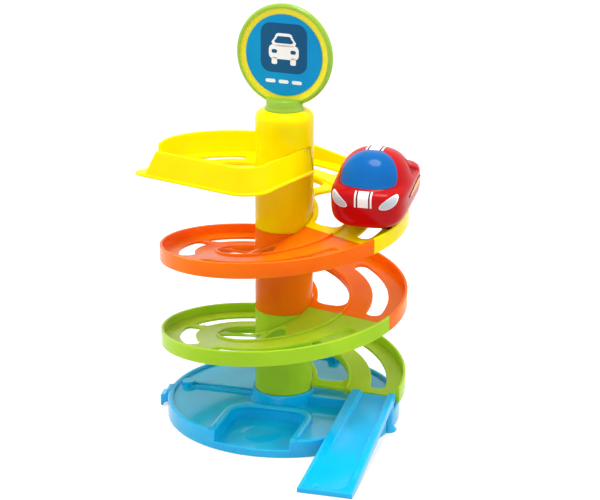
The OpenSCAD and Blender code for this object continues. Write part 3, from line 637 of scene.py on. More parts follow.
# Radius and height of the leg, from its flared foot up
LEG_PROFILE = [(7.6, 0.0), (8.0, 0.4), (8.0, 1.2), (6.4, 3.0), (5.5, 6.0), (5.0, 10.0), (5.0, 25.5)]
TONGUES, TONGUE_ALONG = (72.5, 95.0), 140.0
TONGUE_W, TONGUE_T, TONGUE_LOW, TONGUE_HIGH = 5.0, 3.0, 10.6, 24.6


def near_edge(reach):
    """Distances from an edge, closest together where the edge is rounded."""
    rounded = [RAMP_EDGE * share for share in quarter_round(EDGE_STEPS)[:-1]]
    return rounded + np.arange(FINE_START, reach, FINE_STEP).tolist()


def ramp_slab():
    rows = near_edge(FINE_TIP) + np.linspace(FINE_TIP, RAMP_LONG, RAMP_ROWS).tolist()
    from_left, from_right = near_edge(FINE_LEFT), near_edge(FINE_RIGHT)
    points = []
    for upper in (False, True):
        for along in rows:
            left = RAMP_LEFT + RAMP_TAPER * along / RAMP_LONG
            xs = [left + d for d in from_left]
            xs += np.linspace(left + FINE_LEFT, RAMP_RIGHT - FINE_RIGHT, RAMP_COLUMNS).tolist()
            xs += [RAMP_RIGHT - d for d in reversed(from_right)]
            for x in xs:
                z = ramp_top(x, along) if upper else ramp_under(along)
                points.append((x * MM, (RAMP_TIP + along) * MM, z * MM))
    return points, slab_faces(len(rows), len(from_left) + RAMP_COLUMNS + len(from_right))


def ramp_leg():
    points, faces = turned([(r * MM, z * MM) for r, z in LEG_PROFILE])
    return [(x + LEG_X * MM, y + (RAMP_TIP + LEG_ALONG) * MM, z) for x, y, z in points], faces


def ramp_tongue(middle):
    outline = [((middle + x * TONGUE_W / 2) * MM, (RAMP_TIP + TONGUE_ALONG + y * TONGUE_T / 2) * MM)
               for x, y in CORNERS]
    return plate(outline, TONGUE_LOW * MM, TONGUE_HIGH * MM)


def make_ramp():
    points, faces = joined([ramp_slab(), ramp_leg()] + [ramp_tongue(middle) for middle in TONGUES])
    return new_piece("exit_ramp_form", points, faces, blue_plastic, "tower", "blue_plastic", ["exit_ramp"])


ramp = make_ramp()
print("ramp faces:", len(ramp.data.polygons))

# %% [markdown]
# The tracks are the toy's main shape: a floor with long slots between its wheel strips, windows beside the
# column, a kerb and an outer wall, wound up round the column. A flat pattern is much easier to draw than a
# helix, so the pattern is drawn straight, with its angle as x, its radius as y and its height as z. A
# Geometry Nodes tree then winds it up by one rule, with the rise of a turn as a named input.

# %% Winding tree


def winding_tree():
    tree = bpy.data.node_groups.new("wind_up_track", "GeometryNodeTree")
    face = tree.interface
    face.new_socket("Geometry", in_out="INPUT", socket_type="NodeSocketGeometry")
    for name in ("Start Angle", "Start Height", "Rise Per Turn"):
        face.new_socket(name, in_out="INPUT", socket_type="NodeSocketFloat")
    face.new_socket("Material", in_out="INPUT", socket_type="NodeSocketMaterial")
    face.new_socket("Geometry", in_out="OUTPUT", socket_type="NodeSocketGeometry")
    given = add_node(tree, "NodeGroupInput").outputs

    def result(kind, *values):
        return add_node(tree, "ShaderNodeMath", dict(enumerate(values)), operation=kind).outputs[0]

    position = add_node(tree, "GeometryNodeInputPosition").outputs[0]
    along, radius, height = add_node(tree, "ShaderNodeSeparateXYZ", {0: position}).outputs
    angle = result("ADD", along, given["Start Angle"])
    climb = result("MULTIPLY", result("DIVIDE", along, 2 * math.pi), given["Rise Per Turn"])
    level = result("ADD", result("ADD", height, climb), given["Start Height"])
    x = result("MULTIPLY", radius, result("COSINE", angle))
    y = result("MULTIPLY", radius, result("SINE", angle))
    wound = add_node(tree, "ShaderNodeCombineXYZ", {0: x, 1: y, 2: level}).outputs[0]
    move = add_node(tree, "GeometryNodeSetPosition", {"Geometry": given["Geometry"], "Position": wound})
    realize = add_node(tree, "GeometryNodeRealizeInstances", {0: move.outputs[0]})
    paint = add_node(tree, "GeometryNodeSetMaterial",
                     {"Geometry": realize.outputs[0], "Material": given["Material"]})
    add_node(tree, "NodeGroupOutput", {0: paint.outputs[0]})
    return tree


def set_inputs(modifier, values):
    """A modifier's inputs are set by the socket's identifier, found here by its name."""
    for item in modifier.node_group.interface.items_tree:
        if item.in_out == "INPUT" and item.name in values:
            modifier[item.identifier] = values[item.name]


def converted(obj):
    """The modifiers' result as the object's own plain mesh."""
    bpy.context.view_layer.update()
    made = bpy.data.meshes.new_from_object(obj.evaluated_get(bpy.context.evaluated_depsgraph_get()))
    obj.modifiers.clear()
    obj.data = made
    return obj


wind_up = winding_tree()
print("winding tree:", len(wind_up.nodes), "nodes")

# %% [markdown]
# The pattern's sizes. The outside radius and the rise of a level come from the frame's boxes, and the bands
# across the track from the toy: collar, window field, kerb, inner strip, slot, outer strip and wall. An
# opening is a range of cells along the track, as on the solids.

# %% Track sizes
TRACK_R = (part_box("middle_track")[1].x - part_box("middle_track")[0].x) / 2
WALL_T = 2.4 * MM
COLLAR_IN = 25.3 * MM
KERB_IN = 57.0 * MM
KERB_OUT = KERB_IN + WALL_T
# Inner and outer radius of an opening, and the radius of its corners
WINDOW = (29.5 * MM, KERB_IN - 0.6 * MM, 7.0 * MM)
SLOT = (77.0 * MM, 90.5 * MM, 5.5 * MM)
SKIRT_DEPTH = 5.5 * MM
FLOOR_T = 2.4 * MM
KERB_H = 1.8 * MM
WALL_H = 8.0 * MM
LEVEL_SWEEP = math.radians(347.5)
LEVEL_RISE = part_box("middle_track")[0].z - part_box("lower_track")[0].z
RISE_PER_TURN = LEVEL_RISE * 2 * math.pi / LEVEL_SWEEP
EXIT_ANGLE = math.radians(-5)
EXIT_FLOOR = 29.0 * MM
END_GAP = 0.4 * MM
LEVEL_CELLS = 58
LEVEL_SLOTS = [(1, 12), (19, 29), (30, 38), (41, 56)]
LEVEL_WINDOWS = [(2, 16), (18, 31), (33, 44), (45, 49)]
UPPER_SWEEP = math.radians(225)
UPPER_CELLS = 38
UPPER_SLOTS = [(1, 14), (17, 25), (27, 33)]
UPPER_WINDOWS = [(2, 14), (16, 26), (28, 35)]
# Beside the deck the outer wall sweeps up between two angles, by this height
GUARD_START, GUARD_END = (cell * UPPER_SWEEP / UPPER_CELLS for cell in (17, 25))
GUARD_H = 11.0 * MM
print("track radius", round(TRACK_R / MM, 1), "mm, rise of a turn", round(RISE_PER_TURN / MM, 1), "mm")

# %% [markdown]
# The openings have round ends. A Boolean could cut them, but it leaves long thin faces that shade badly.
# Here the rows of points move closer together at each end, and the opening's edge follows an arc there.

# %% Round ends of the openings
STATION_STEP = math.radians(1.4)
ROUND_STEPS = 7
SAME_ANGLE, CLEAR_ANGLE = 1e-7, 1e-4


def opening_half(angle, ranges, low, high, corner):
    """Half the width of an opening at an angle, or None where the floor is closed there."""
    middle = (low + high) / 2
    half = (high - low) / 2
    for start, end in ranges:
        if start - SAME_ANGLE <= angle <= end + SAME_ANGLE:
            depth = max(0, min(angle - start, end - angle)) * middle
            if depth >= corner:
                return half
            return half - corner + math.sqrt(corner ** 2 - (corner - depth) ** 2)
    return None


def stations(sweep, openings):
    """Angles along the track: an even row, with more of them in the rounded ends of the openings."""
    row = set(np.linspace(0, sweep, round(sweep / STATION_STEP) + 1).tolist())
    for ranges, (low, high, corner) in openings:
        reach = corner / ((low + high) / 2)
        for start, end in ranges:
            for edge, way in ((start, 1), (end, -1)):
                row = {a for a in row if not (-CLEAR_ANGLE < (a - edge) * way < reach)}
                row |= {edge + way * reach * share for share in quarter_round(ROUND_STEPS)}
    return sorted(row)


print("angles along a track without openings:", len(stations(LEVEL_SWEEP, [])))

# %% [markdown]
# A track is then a block of cells: lines across it, angles along it and levels up it. Each cell is solid or
# empty, and only the faces between a solid and an empty cell are made, so the skin is closed.

# %% Block of cells


def cells_mesh(counts, point, filled):
    """Points and faces of a block of cells: point places a corner, and filled says which cells are solid."""
    sides = [((1, 0, 0), ((1, 0, 0), (1, 1, 0), (1, 1, 1), (1, 0, 1))),
             ((-1, 0, 0), ((0, 0, 0), (0, 0, 1), (0, 1, 1), (0, 1, 0))),
             ((0, 1, 0), ((0, 1, 0), (0, 1, 1), (1, 1, 1), (1, 1, 0))),
             ((0, -1, 0), ((0, 0, 0), (1, 0, 0), (1, 0, 1), (0, 0, 1))),
             ((0, 0, 1), ((0, 0, 1), (1, 0, 1), (1, 1, 1), (0, 1, 1))),
             ((0, 0, -1), ((0, 0, 0), (0, 1, 0), (1, 1, 0), (1, 0, 0)))]
    solid = {(j, i, m) for j in range(counts[0]) for i in range(counts[1]) for m in range(counts[2])
             if filled(j, i, m)}
    index = {}
    faces = []
    for j, i, m in sorted(solid):
        for step, corners in sides:
            if (j + step[0], i + step[1], m + step[2]) in solid:
                continue
            keys = [(j + a, i + b, m + c) for a, b, c in corners]
            faces.append([index.setdefault(key, len(index)) for key in keys])
    return [point(*key) for key in index], faces


print("faces of one cell:", len(cells_mesh((1, 1, 1), lambda *corner: corner, lambda *cell: True)[1]))

# %% [markdown]
# On the flat track, the lines beside an opening follow its edge. Points on the edges' own lines are moved a
# little, which softens the rims of the kerb, the wall and the openings.

# %% Flat track
EASE = 0.7 * MM
EDGE = 0.8 * EASE
FOOT = 0.5 * EASE
# First and last line of each band, among the lines across the track
WINDOW_LINES, KERB_LINES, SLOT_LINES, WALL_LINES = (2, 3), (5, 8), (10, 11), (13, 16)
# Levels of points. A cell has the number of the level below it
SKIRT, UNDER, TOP, KERB_TOP, WALL_TOP = range(5)


def opening_edges(opening, half):
    """Inner and outer edge of an opening, or lines at its quarters where the floor is closed."""
    low, high, _ = opening
    middle = (low + high) / 2
    reach = (high - low) / 4 if half is None else half
    return middle - reach, middle + reach


def flat_track(sweep, cells, slots, windows, guard_h):
    """The unwound pattern, as points of angle, radius and height."""
    step = sweep / cells
    slots = [(a * step, b * step) for a, b in slots]
    windows = [(a * step, b * step) for a, b in windows]
    row = stations(sweep, [(slots, SLOT), (windows, WINDOW)])
    window_half = [opening_half(a, windows, *WINDOW) for a in row]
    slot_half = [opening_half(a, slots, *SLOT) for a in row]

    def radii(i):
        window_in, window_out = opening_edges(WINDOW, window_half[i])
        slot_in, slot_out = opening_edges(SLOT, slot_half[i])
        return [COLLAR_IN, window_in - EDGE, window_in, window_out, window_out + EDGE / 2,
                KERB_IN, KERB_IN + EDGE, KERB_OUT - EDGE, KERB_OUT,
                slot_in - EDGE, slot_in, slot_out, slot_out + EDGE,
                TRACK_R - WALL_T, TRACK_R - WALL_T + EASE, TRACK_R - EASE, TRACK_R]

    table = [radii(i) for i in range(len(row))]
    eased = KERB_LINES + WALL_LINES

    def point(j, i, m):
        wall_h = WALL_H + guard_h * ease(GUARD_START, GUARD_END, row[i])
        z = (-SKIRT_DEPTH, -FLOOR_T, 0, KERB_H, wall_h)[m]
        at_window = j in WINDOW_LINES and window_half[i] is not None
        at_slot = j in SLOT_LINES and slot_half[i] is not None
        if m == TOP and (at_window or at_slot):
            z -= EDGE
        if j in eased and (m == WALL_TOP or m == KERB_TOP and j < WALL_LINES[0]):
            z -= EDGE
        if j in eased and m == SKIRT:
            z += FOOT
        return (row[i], table[i][j], z)

    def is_open(half, i):
        return half[i] is not None and half[i + 1] is not None

    def filled(j, i, m):
        kerb = KERB_LINES[0] <= j < KERB_LINES[1]
        wall = j >= WALL_LINES[0]
        if m == UNDER:
            in_window = j == WINDOW_LINES[0] and is_open(window_half, i)
            in_slot = j == SLOT_LINES[0] and is_open(slot_half, i)
            return not (in_window or in_slot)
        if m == KERB_TOP:
            return wall
        return kerb or wall

    return cells_mesh((WALL_LINES[1], len(row) - 1, WALL_TOP), point, filled)


print("lines across a track:", WALL_LINES[1] + 1, "levels:", WALL_TOP + 1)

# %% [markdown]
# Three patterns are wound up, one on top of the other. The two lower ones are alike. The top one is shorter,
# and beside the deck its outer wall sweeps up to a guard.

# %% Wound tracks
LEVEL_PATTERN = (LEVEL_SWEEP, LEVEL_CELLS, LEVEL_SLOTS, LEVEL_WINDOWS, 0)
UPPER_PATTERN = (UPPER_SWEEP, UPPER_CELLS, UPPER_SLOTS, UPPER_WINDOWS, GUARD_H)


def make_track(level, node, pattern, material, slot):
    sweep, *openings = pattern
    points, faces = flat_track(sweep - END_GAP / TRACK_R, *openings)
    obj = mesh_piece(node + "_wound", points, faces)
    modifier = obj.modifiers.new("wind_up", "NODES")
    modifier.node_group = wind_up
    set_inputs(modifier, {"Start Angle": EXIT_ANGLE + level * LEVEL_SWEEP,
                          "Start Height": EXIT_FLOOR + level * LEVEL_RISE,
                          "Rise Per Turn": RISE_PER_TURN, "Material": material})
    converted(obj)
    finish_piece(obj, material, "tower", slot, [node])
    print(node, "faces:", len(obj.data.polygons))
    return even_normals(obj)


make_track(0, "lower_track", LEVEL_PATTERN, lime_plastic, "lime_plastic")
make_track(1, "middle_track", LEVEL_PATTERN, orange_plastic, "orange_plastic")
make_track(2, "upper_track", UPPER_PATTERN, yellow_plastic, "yellow_plastic")

# %% [markdown]
# The sign is clear lime plastic: light goes through it, so its edge glows. Its flat ring between the label
# and the rim is painted a lighter yellow, as painted light for the light that comes through the thinner
# plastic there. The colour follows the distance from the disc's middle, which a Mapping node moves and
# turns into place.

# %% Sign plastic
sign_low, sign_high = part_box("sign_label_front")
SIGN_MID = Vector((0, 0, (sign_low.z + sign_high.z) / 2))
SIGN_TURN = math.radians(-7)
RING_R, RING_SOFT = 39.7 * MM, 0.5 * MM
CLEAR_ROUGH = (0.12, 0.2)
CLEAR_SHARE, CLEAR_IOR = 0.25, 1.46
RIM_LIME = srgb(160, 204, 50)
# Painted light: the ring is a lighter yellow for the light that comes through the thinner plastic
RING_PAINTED_GLOW = srgb(252, 240, 10)


def clear_lime(name, ring_colour, rim_colour):
    material, tree, shader = new_material(name)
    coords = add_node(tree, "ShaderNodeTexCoord").outputs["Object"]
    sign_place = {"Location": SIGN_MID, "Rotation": (math.pi / 2, 0, SIGN_TURN)}
    place = add_node(tree, "ShaderNodeMapping", {"Vector": coords, **sign_place}, vector_type="TEXTURE")
    flat = add_node(tree, "ShaderNodeVectorMath", {0: place.outputs[0], 1: (1, 1, 0)}, operation="MULTIPLY")
    length = add_node(tree, "ShaderNodeVectorMath", {0: flat.outputs[0]}, operation="LENGTH")
    # Inside the ring's edge the first colour is used; on the disc it is the painted light of the thin ring
    edges = {"From Min": RING_R - RING_SOFT, "From Max": RING_R + RING_SOFT}
    ring = add_node(tree, "ShaderNodeMapRange", {"Value": length.outputs["Value"], **edges})
    feed(tree, shader, {"Base Color": two_tone(tree, ring.outputs["Result"], ring_colour, rim_colour),
                        "Roughness": spread(tree, object_noise(tree, GRAIN_SCALE), *CLEAR_ROUGH),
                        "Transmission Weight": CLEAR_SHARE, "IOR": CLEAR_IOR})
    return material


disc_plastic = clear_lime("clear_lime_disc", RING_PAINTED_GLOW, RIM_LIME)
neck_plastic = clear_lime("clear_lime_neck", RIM_LIME, RIM_LIME)
print("sign plastics:", disc_plastic.name, neck_plastic.name)

# %% [markdown]
# The disc and its neck are turned from half sections, as on a lathe. The disc is turned lying down, and one
# matrix then stands it up in its place, so its rim is a true full round.

# %% Sign
COLUMN_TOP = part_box("upper_column")[1].z
PLUG_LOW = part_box("sign_panel")[0].z
DISC_R, RIM_HALF, DISC_HALF = 43.5 * MM, 3.0 * MM, 1.5 * MM
PLUG_R, FLANGE_R, NECK_R, NECK_H = 16.0 * MM, 17.0 * MM, 15.6 * MM, 9.3 * MM
RIM_STEPS = 16
# Millimetres out from the ring's edge, and the share of the step up to the rim that is climbed there
RIM_STEP = [(-0.5, 0.0), (-0.15, 0.15), (0.0, 0.45), (0.1, 0.8)]
LABEL_EDGE = 0.1 * MM
STOOD_UP = Matrix.Rotation(SIGN_TURN, 4, "Z") @ Matrix.Rotation(math.pi / 2, 4, "X")
SIGN_FRAME = Matrix.Translation(SIGN_MID) @ STOOD_UP


def disc_profile():
    """Half of the disc's section, from its lower face out round the full round rim and back."""
    step = RIM_HALF - DISC_HALF
    upper = [(RING_R + out * MM, DISC_HALF + share * step) for out, share in RIM_STEP]
    rim = [(DISC_R - RIM_HALF + RIM_HALF * math.cos(a), RIM_HALF * math.sin(a))
           for a in (math.pi / 2 - math.pi * k / RIM_STEPS for k in range(RIM_STEPS + 1))]
    lower = [(r, -z) for r, z in reversed(upper)]
    return list(reversed(upper + rim + lower))


def neck_profile():
    """Half of the neck's section: plug, flange, a soft shoulder and the neck up into the disc."""
    top = COLUMN_TOP + NECK_H
    return [(PLUG_R - 0.5 * MM, PLUG_LOW), (PLUG_R, PLUG_LOW + 0.5 * MM), (PLUG_R, COLUMN_TOP + 0.3 * MM),
            (FLANGE_R, COLUMN_TOP + 0.3 * MM), (FLANGE_R, COLUMN_TOP + 0.7 * MM),
            (NECK_R + 0.4 * MM, COLUMN_TOP + 2.4 * MM), (NECK_R, COLUMN_TOP + 3.6 * MM),
            (NECK_R, top - 0.6 * MM), (NECK_R - 0.6 * MM, top)]


new_piece("sign_disc", *turned(disc_profile()), disc_plastic, "sign", "clear_lime_plastic", ["sign_panel"],
          SIGN_FRAME)
new_piece("sign_neck", *turned(neck_profile()), neck_plastic, "sign", "clear_lime_plastic")
for node in ("sign_label_front", "sign_label_back"):
    softened(node, label_blue, "blue_print", LABEL_EDGE)
print("sign middle at", round(SIGN_MID.z, 4), "m")

# %% [markdown]
# The label's print is generic: a dark square with rounded corners, a plain car seen from the front and a row
# of road dashes. Each shape is a thin plate, laid on the label in its own layer. An image could hold the
# print too, but plates stay sharp at any distance.

# %% Sign print
LABEL_TOP = 1.9 * MM
PRINT_LAYER = 0.06 * MM
CORNER_STEPS = 7
# Each shape: width, height, corner radius, middle and, where it isn't the width, the width of its top
SQUARE = [(42, 42, 9, (0, 6))]
CAR_AND_DASHES = [(27, 12, 4, (0, 2.5)), (22, 11, 3.5, (0, 13), 16)]
CAR_AND_DASHES += [(5, 6, 1.2, (x, -5)) for x in (-8.5, 8.5)]
CAR_AND_DASHES += [(9, 3, 1.4, (x, -22.5)) for x in (-12, 0, 12)]
CAR_GLASS = [(17, 6, 2, (0, 13), 13)] + [(5, 3.2, 1.5, (x, 3)) for x in (-8.5, 8.5)]
PRINTS = [("print_square_", SQUARE, label_navy, "blue_print"),
          ("print_car_", CAR_AND_DASHES, white_print, "white_print"),
          ("print_car_glass_", CAR_GLASS, label_navy, "blue_print")]


def rounded_outline(width, height, corner, middle, top_width=None):
    """Points round a rectangle, or a shape with a narrower top, with round corners."""
    top = width if top_width is None else top_width
    points = []
    for k, (x, y) in enumerate(((width, -height), (top, height), (-top, height), (-width, -height))):
        cx = x / 2 - math.copysign(corner, x)
        cy = y / 2 - math.copysign(corner, y)
        for s in range(CORNER_STEPS + 1):
            a = math.radians(-90 + 90 * k) + math.radians(90) * s / CORNER_STEPS
            points.append((middle[0] + cx + corner * math.cos(a), middle[1] + cy + corner * math.sin(a)))
    return points


def print_plate(name, shapes, layer, material, slot, side):
    """Thin plates of the given shapes, in millimetres from the label's middle."""
    low = LABEL_TOP + PRINT_LAYER * layer
    outlines = [[(x * MM, y * MM) for x, y in rounded_outline(*shape)] for shape in shapes]
    plates = joined(plate(outline, low, low + PRINT_LAYER) for outline in outlines)
    place = SIGN_FRAME @ Matrix.Rotation(side, 4, "Y")
    return new_piece(name, *plates, material, "sign", slot, place=place)


for side_name, side in (("front", 0), ("back", math.pi)):
    for layer, (print_name, shapes, material, slot) in enumerate(PRINTS):
        print_plate(print_name + side_name, shapes, layer, material, slot, side)
print("prints on each side:", len(PRINTS))

# %% [markdown]
# The car has a frame of its own: its wheels' axles say where it stands on the track and how it leans. Its
# form is worked out level, in millimetres, and one matrix sets it down there.

# %% Car place and sizes
joints = {joint["name"]: joint for joint in frame["joints"]}
front_pin = Vector(joints["front_wheel_roll"]["pos_m"])
rear_pin = Vector(joints["rear_wheel_roll"]["pos_m"])
wheel_low, wheel_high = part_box("front_left_wheel")
CAR_RIGHT = Vector((1, 0, 0))
CAR_BACK = (rear_pin - front_pin).normalized()
CAR_UP = CAR_RIGHT.cross(CAR_BACK)
CAR_MID = (front_pin + rear_pin) / 2 - CAR_UP * (wheel_high.z - wheel_low.z) / 2
CAR_FRAME = Matrix.Translation(CAR_MID) @ Matrix((CAR_RIGHT, CAR_BACK, CAR_UP)).transposed().to_4x4()
shell_low, shell_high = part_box("car_shell")
CAR_W = (shell_high.x - shell_low.x) / MM
CAR_L, CAR_H, CAR_CLEAR = 82.0, 53.5, 10.0
BELT_H, SHOULDER_H = 17.0, 16.0
BELT_Z = CAR_CLEAR + BELT_H
FRONT_POWER, TAIL_POWER, SIDE_POWER = 4.0, 8.0, 6.0
BODY_POWER, UNDER_POWER, CABIN_POWER = 4.5, 3.5, 2.5
CABIN_Y, CABIN_FRONT, CABIN_TAIL = 1.0, 0.46 * CAR_L, 0.49 * CAR_L
CABIN_W, CABIN_H = 0.475 * CAR_W, CAR_H - BELT_H
LEAST_HALF, LEAST_CABIN = 0.4, 0.02
SOFT_JOIN, JOIN_GROWTH, JOIN_SWELL = 3.0, 4, 0.6
UNDER_DROP = 2.2
# Corners of the sunk side window, along the car and over the belt
SIDE_WINDOW = [(5.0, 13.0), (29.0, 9.0), (10.0, 28.0)]
WINDOW_ROUND, WINDOW_DEPTH, WINDOW_SLOPE = 0.8, 1.8, 0.9
print("car stands at", tuple(round(v, 4) for v in CAR_MID), "and is", round(CAR_W, 1), "mm wide")

# %% [markdown]
# The car is a bubble: a boxy body with round corners, and a cabin that swells out of it. Every cross section
# is seen from a point at belt height. The body and the cabin are each a superellipse there, and a soft
# maximum of the two joins them, so one loft from nose to tail makes the whole skin.

# %% Car form


def bulge(share, power):
    return max(0.0, 1 - min(1.0, abs(share)) ** power) ** (1 / power)


def oval(turn, half_w, half_h, power):
    """Distance to a superellipse in a direction."""
    return ((abs(math.cos(turn)) / half_w) ** power + (abs(math.sin(turn)) / half_h) ** power) ** (-1 / power)


def car_radius(y, turn):
    """Distance from the belt point to the skin at a station and in a direction."""
    plan = bulge(2 * y / CAR_L, FRONT_POWER if y < 0 else TAIL_POWER)
    half_w = max(LEAST_HALF, (CAR_W / 2 - JOIN_SWELL) * plan)
    ends = bulge(2 * y / CAR_L, SIDE_POWER)
    if math.sin(turn) <= 0:
        return oval(turn, half_w, max(LEAST_HALF, (BELT_H + UNDER_DROP) * ends), UNDER_POWER)
    body = oval(turn, half_w, max(LEAST_HALF, SHOULDER_H * ends), BODY_POWER)
    share = bulge((y - CABIN_Y) / (CABIN_FRONT if y < CABIN_Y else CABIN_TAIL), 2)
    cabin = 0 if share < LEAST_CABIN else oval(turn, CABIN_W * share, CABIN_H * share, CABIN_POWER)
    soft = SOFT_JOIN * min(1, JOIN_GROWTH * math.sin(turn))
    return (body + cabin + math.sqrt((body - cabin) ** 2 + soft ** 2)) / 2


def window_sink(y, z):
    """Depth of the sunk side window: full inside a triangle with round corners, none outside."""
    edges = list(zip(SIDE_WINDOW, SIDE_WINDOW[1:] + SIDE_WINDOW[:1]))
    far = [((b[0] - a[0]) * (z - a[1]) - (b[1] - a[1]) * (y - a[0])) / math.dist(a, b) for a, b in edges]
    if min(far) < 0:
        return 0.0
    inside = -WINDOW_ROUND * math.log(sum(math.exp(-d / WINDOW_ROUND) for d in far))
    return WINDOW_DEPTH * min(1, max(0, inside / WINDOW_SLOPE))


def car_point(y, turn, lift=0.0):
    r = car_radius(y, turn) + lift
    return Vector((r * math.cos(turn), y, BELT_Z + r * math.sin(turn)))


print("half width at the belt:", round(car_radius(0, 0), 1), "mm")

# %% [markdown]
# A sticker is placed from above, from the front or from the side, but the form is known by direction. So the
# direction or the station that belongs to a place is found by halving a range until it is narrow enough.

# %% Points on the car's skin
HALVINGS = 40


def halved(low, high, too_low):
    """The place in a range where a test changes."""
    for _ in range(HALVINGS):
        mid = (low + high) / 2
        low, high = (mid, high) if too_low(mid) else (low, mid)
    return (low + high) / 2


def top_point(x, y, lift):
    """The skin over a point of the plan."""
    turn = halved(0.0, math.pi, lambda a: car_radius(y, a) * math.cos(a) > x)
    return car_point(y, turn, lift)


def nose_point(x, z, lift):
    """The front of the skin at a width and a height."""
    turn = math.atan2(z - BELT_Z, x)
    reach = math.hypot(x, z - BELT_Z)
    front = halved(-CAR_L / 2, 0.0, lambda y: car_radius(y, turn) <= reach)
    return Vector((x, front - lift, z))


def side_point(y, z, lift):
    """The skin beside a point of the side view."""
    rise = z - BELT_Z
    turn = halved(-math.pi / 4, math.pi / 2, lambda a: car_radius(y, a) * math.sin(a) < rise)
    return car_point(y, turn, lift)


print("roof over the cabin's middle:", round(top_point(0, CABIN_Y, 0).z, 1), "mm")

# %% [markdown]
# The shell is that loft, open below: its lowest strip is left out, so that the wheels and the grey chassis
# show under it. The rows bunch up at the nose and the tail, where the form turns fastest.

# %% Car shell
STATIONS, AROUND = 150, 200
END_SHARE, BUNCHING = 0.9995, 0.8
UNDER_Z = CAR_CLEAR - UNDER_DROP + 3.0
OPEN_HALF_W, OPEN_HALF_L = 21.7, 27.0


def is_skin(p):
    """True for a point that lies outside the open strip below."""
    return p.z > UNDER_Z or abs(p.x) > OPEN_HALF_W or abs(p.y) > OPEN_HALF_L


def car_shell():
    rows = [math.cos(math.pi * i / (STATIONS - 1)) for i in range(STATIONS)]
    ys = [-CAR_L / 2 * END_SHARE * math.copysign(abs(c) ** BUNCHING, c) for c in rows]
    points = []
    for y in ys:
        for k in range(AROUND):
            turn = -math.pi + 2 * math.pi * k / AROUND
            spot = car_point(y, turn)
            points.append(car_point(y, turn, -window_sink(y, spot.z - BELT_Z)))
    faces = [quad for quad in ring_faces(STATIONS, AROUND) if any(is_skin(points[v]) for v in quad)]
    faces.append(list(reversed(range(AROUND))))
    faces.append([(STATIONS - 1) * AROUND + k for k in range(AROUND)])
    return new_piece("car_shell_skin", [p * MM for p in points], faces, red_plastic, "car", "red_plastic",
                     ["car_shell"], CAR_FRAME)


shell = car_shell()
print("car shell faces:", len(shell.data.polygons))

# %% [markdown]
# The windshield and the stickers are patches of the same skin, lifted off it by a hair. A patch is a grid
# over two shares from -1 to 1, closed by a rim down to the body. Each kind has a function that says where
# the two shares lie on the skin. The windshield also bulges, and the stripes keep their width over the form.

# %% Windshield and stripes
SKIN_LIFT = 0.08
SCREEN_Y, SCREEN_L, SCREEN_W, SCREEN_TAPER = -17.0, 16.6, 23.3, 0.1
SCREEN_T, SCREEN_DOME, SCREEN_GRID = 0.6, 1.9, 40
# The two gaps are painted shadow lines: darker red strips between the white stripes
STRIPE_NAMES = ("left_line", "left_shadow_gap", "middle", "right_shadow_gap", "right_line")
STRIPE_EDGES = (-7.4, -5.9, -4.5, 4.5, 5.9, 7.4)
STRIPE_T, STRIPE_COLUMNS = 0.15, 5
# Place, rows, side of the skin, and where the stripes start there and how long they are
STRIPE_PLACES = (("hood", 20, nose_point, BELT_Z + 3, 12.2), ("roof", 24, top_point, 0.6, 29.4))


def skin_patch(name, rows, columns, spot, material, slot, stands_for, thick):
    """A closed patch: spot gives a skin point for two shares and a lift, in millimetres."""
    points = []
    for lift in (0, thick):
        for i in range(rows + 1):
            for j in range(columns + 1):
                points.append(spot(-1 + 2 * i / rows, -1 + 2 * j / columns, lift) * MM)
    faces = slab_faces(rows + 1, columns + 1)
    return new_piece(name, points, faces, material, "car", slot, stands_for, CAR_FRAME)


def between(low, size, share):
    """A place in a range, for a share from -1 to 1."""
    return low + size * (share + 1) / 2


def screen_spot(u, v, lift):
    """The windshield is a leaf of the cabin that bulges out of its frame."""
    half = SCREEN_W * (1 - SCREEN_TAPER * u) * math.sqrt(max(0, 1 - u * u))
    dome = SCREEN_DOME * (1 - u * u) * (1 - v * v)
    return top_point(half * v, SCREEN_Y + SCREEN_L * u, SKIN_LIFT + lift * (1 + 2 * dome))


def stripe_spot(skin_point, low, size, left, right):
    """A stripe has a left and a right edge, and runs up the hood or back along the roof."""
    def spot(u, v, lift):
        return skin_point(between(left, right - left, v), between(low, size, u), SKIN_LIFT + lift)
    return spot


skin_patch("windshield_dome", SCREEN_GRID, SCREEN_GRID, screen_spot, dome_plastic, "screen_plastic",
           ["car_windshield"], SCREEN_T)
for stripe, left, right in zip(STRIPE_NAMES, STRIPE_EDGES, STRIPE_EDGES[1:]):
    # A gap strip is painted shadow, a darker red than the body between the white stripes
    material = dark_red_print_and_shade if stripe.endswith("gap") else white_print
    for place, rows, *course in STRIPE_PLACES:
        stands = ["car_%s_stripes" % place] if stripe == "middle" else []
        skin_patch("%s_stripe_%s" % (place, stripe), rows, STRIPE_COLUMNS, stripe_spot(*course, left, right),
                   material, "white_print", stands, STRIPE_T)
print("stripes on the hood and on the roof:", len(STRIPE_NAMES))

# %% [markdown]
# The lamps, the side stickers and the painted shade on the floors of the side windows come in pairs. Each is
# drawn once, for the car's left, and the right one is its mirror image. A lamp or a sticker is two leaves,
# and the smaller one lies on the larger one, which shows as its edge. The shade is a darker red sheet in each
# sunk window, painted where the red body lies in shadow.

# %% Lamps, side stickers and painted shade in the side windows
LAMP_X, LAMP_Z, LAMP_LIFT = 20.8, BELT_Z + 7.0, 0.1
LAMP_L, LAMP_CLIMB, LAMP_H, LAMP_POINT = 7.4, 3.2, 5.6, 0.2
BOW_Y, BOW_L, BOW_Z, BOW_H, BOW_POINT = 10, 23, BELT_Z + 2, 4.0, 0.3
# How far the painted shade keeps in from the window's corners, and how far it lies over the window's floor
WINDOW_SHADE_SHRINK, WINDOW_SHADE_LIFT = 0.16, 0.03


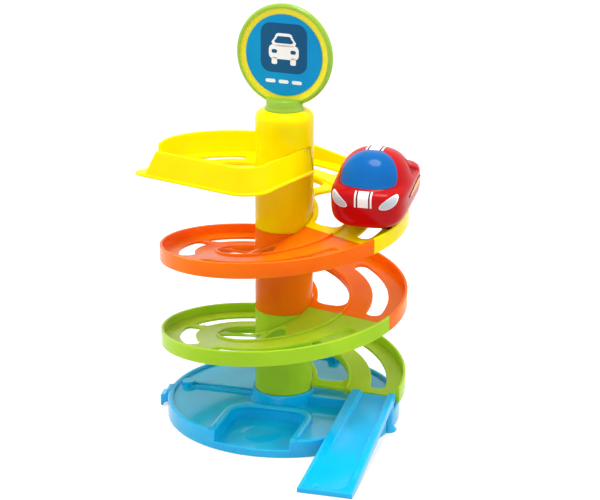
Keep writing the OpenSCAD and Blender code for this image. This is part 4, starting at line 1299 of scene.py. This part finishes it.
def leaf(u, point):
    """Width of a leaf along its length, with one end more pointed than the other."""
    return math.sqrt(max(0, 1 - u * u)) * (1 - point + point * u)


def lamp_spot(size):
    """A leaf that is wide outside, pointed towards the middle, and climbs outwards."""
    def spot(u, v, lift):
        z = LAMP_Z + size * (LAMP_CLIMB * u + LAMP_H * v * leaf(u, LAMP_POINT))
        return nose_point(LAMP_X + LAMP_L * size * u, z, LAMP_LIFT + lift)
    return spot


def bow_spot(size):
    """A long bow along the belt, highest behind the door."""
    def spot(u, v, lift):
        z = BOW_Z + BOW_H * size * v * leaf(u, BOW_POINT)
        return side_point(BOW_Y + BOW_L * size * u, z, SKIN_LIFT + lift)
    return spot


def window_shade_spot(u, v, lift):
    """Painted shade on the floor of the sunk side window: a fan from its rear corner to its front edge."""
    low, rear, high = (Vector(corner) for corner in SIDE_WINDOW)
    middle = (low + rear + high) / 3
    flat = rear.lerp(low.lerp(high, (v + 1) / 2), (u + 1) / 2).lerp(middle, WINDOW_SHADE_SHRINK)
    return side_point(flat.x, BELT_Z + flat.y, lift - WINDOW_DEPTH + WINDOW_SHADE_LIFT)


def on_side(spot, side):
    """A spot of the car's left, or its mirror image on the right where side is -1."""
    def placed(u, v, lift):
        point = spot(u, v, lift)
        point.x *= side
        return point
    return placed


SIDE_PATCHES = [
    # name, rows, columns, spot, material, slot, solid, thickness
    ("headlight_edge", 24, 10, lamp_spot(1.0), white_print, "white_print", ["car_headlights"], 0.3),
    ("headlight_lens", 24, 10, lamp_spot(0.88), silver_print, "silver_print", [], 0.5),
    ("side_sticker_edge", 24, 8, bow_spot(1.0), dark_red_print_and_shade, "side_print", ["car_side_stickers"], 0.3),
    ("side_sticker", 24, 8, bow_spot(0.86), amber_print, "side_print", [], 0.5),
    # The side window patch is painted shade, a darker red sheet on the sunk window's floor
    ("side_window", 16, 12, window_shade_spot, window_painted_shade, "red_plastic", [], 0.1),
]
for side_name, side in (("_left", 1), ("_right", -1)):
    for name, rows, columns, spot, material, slot, solid, thick in SIDE_PATCHES:
        stands = solid if side > 0 else []
        skin_patch(name + side_name, rows, columns, on_side(spot, side), material, slot, stands, thick)
print("patches on each side:", len(SIDE_PATCHES))
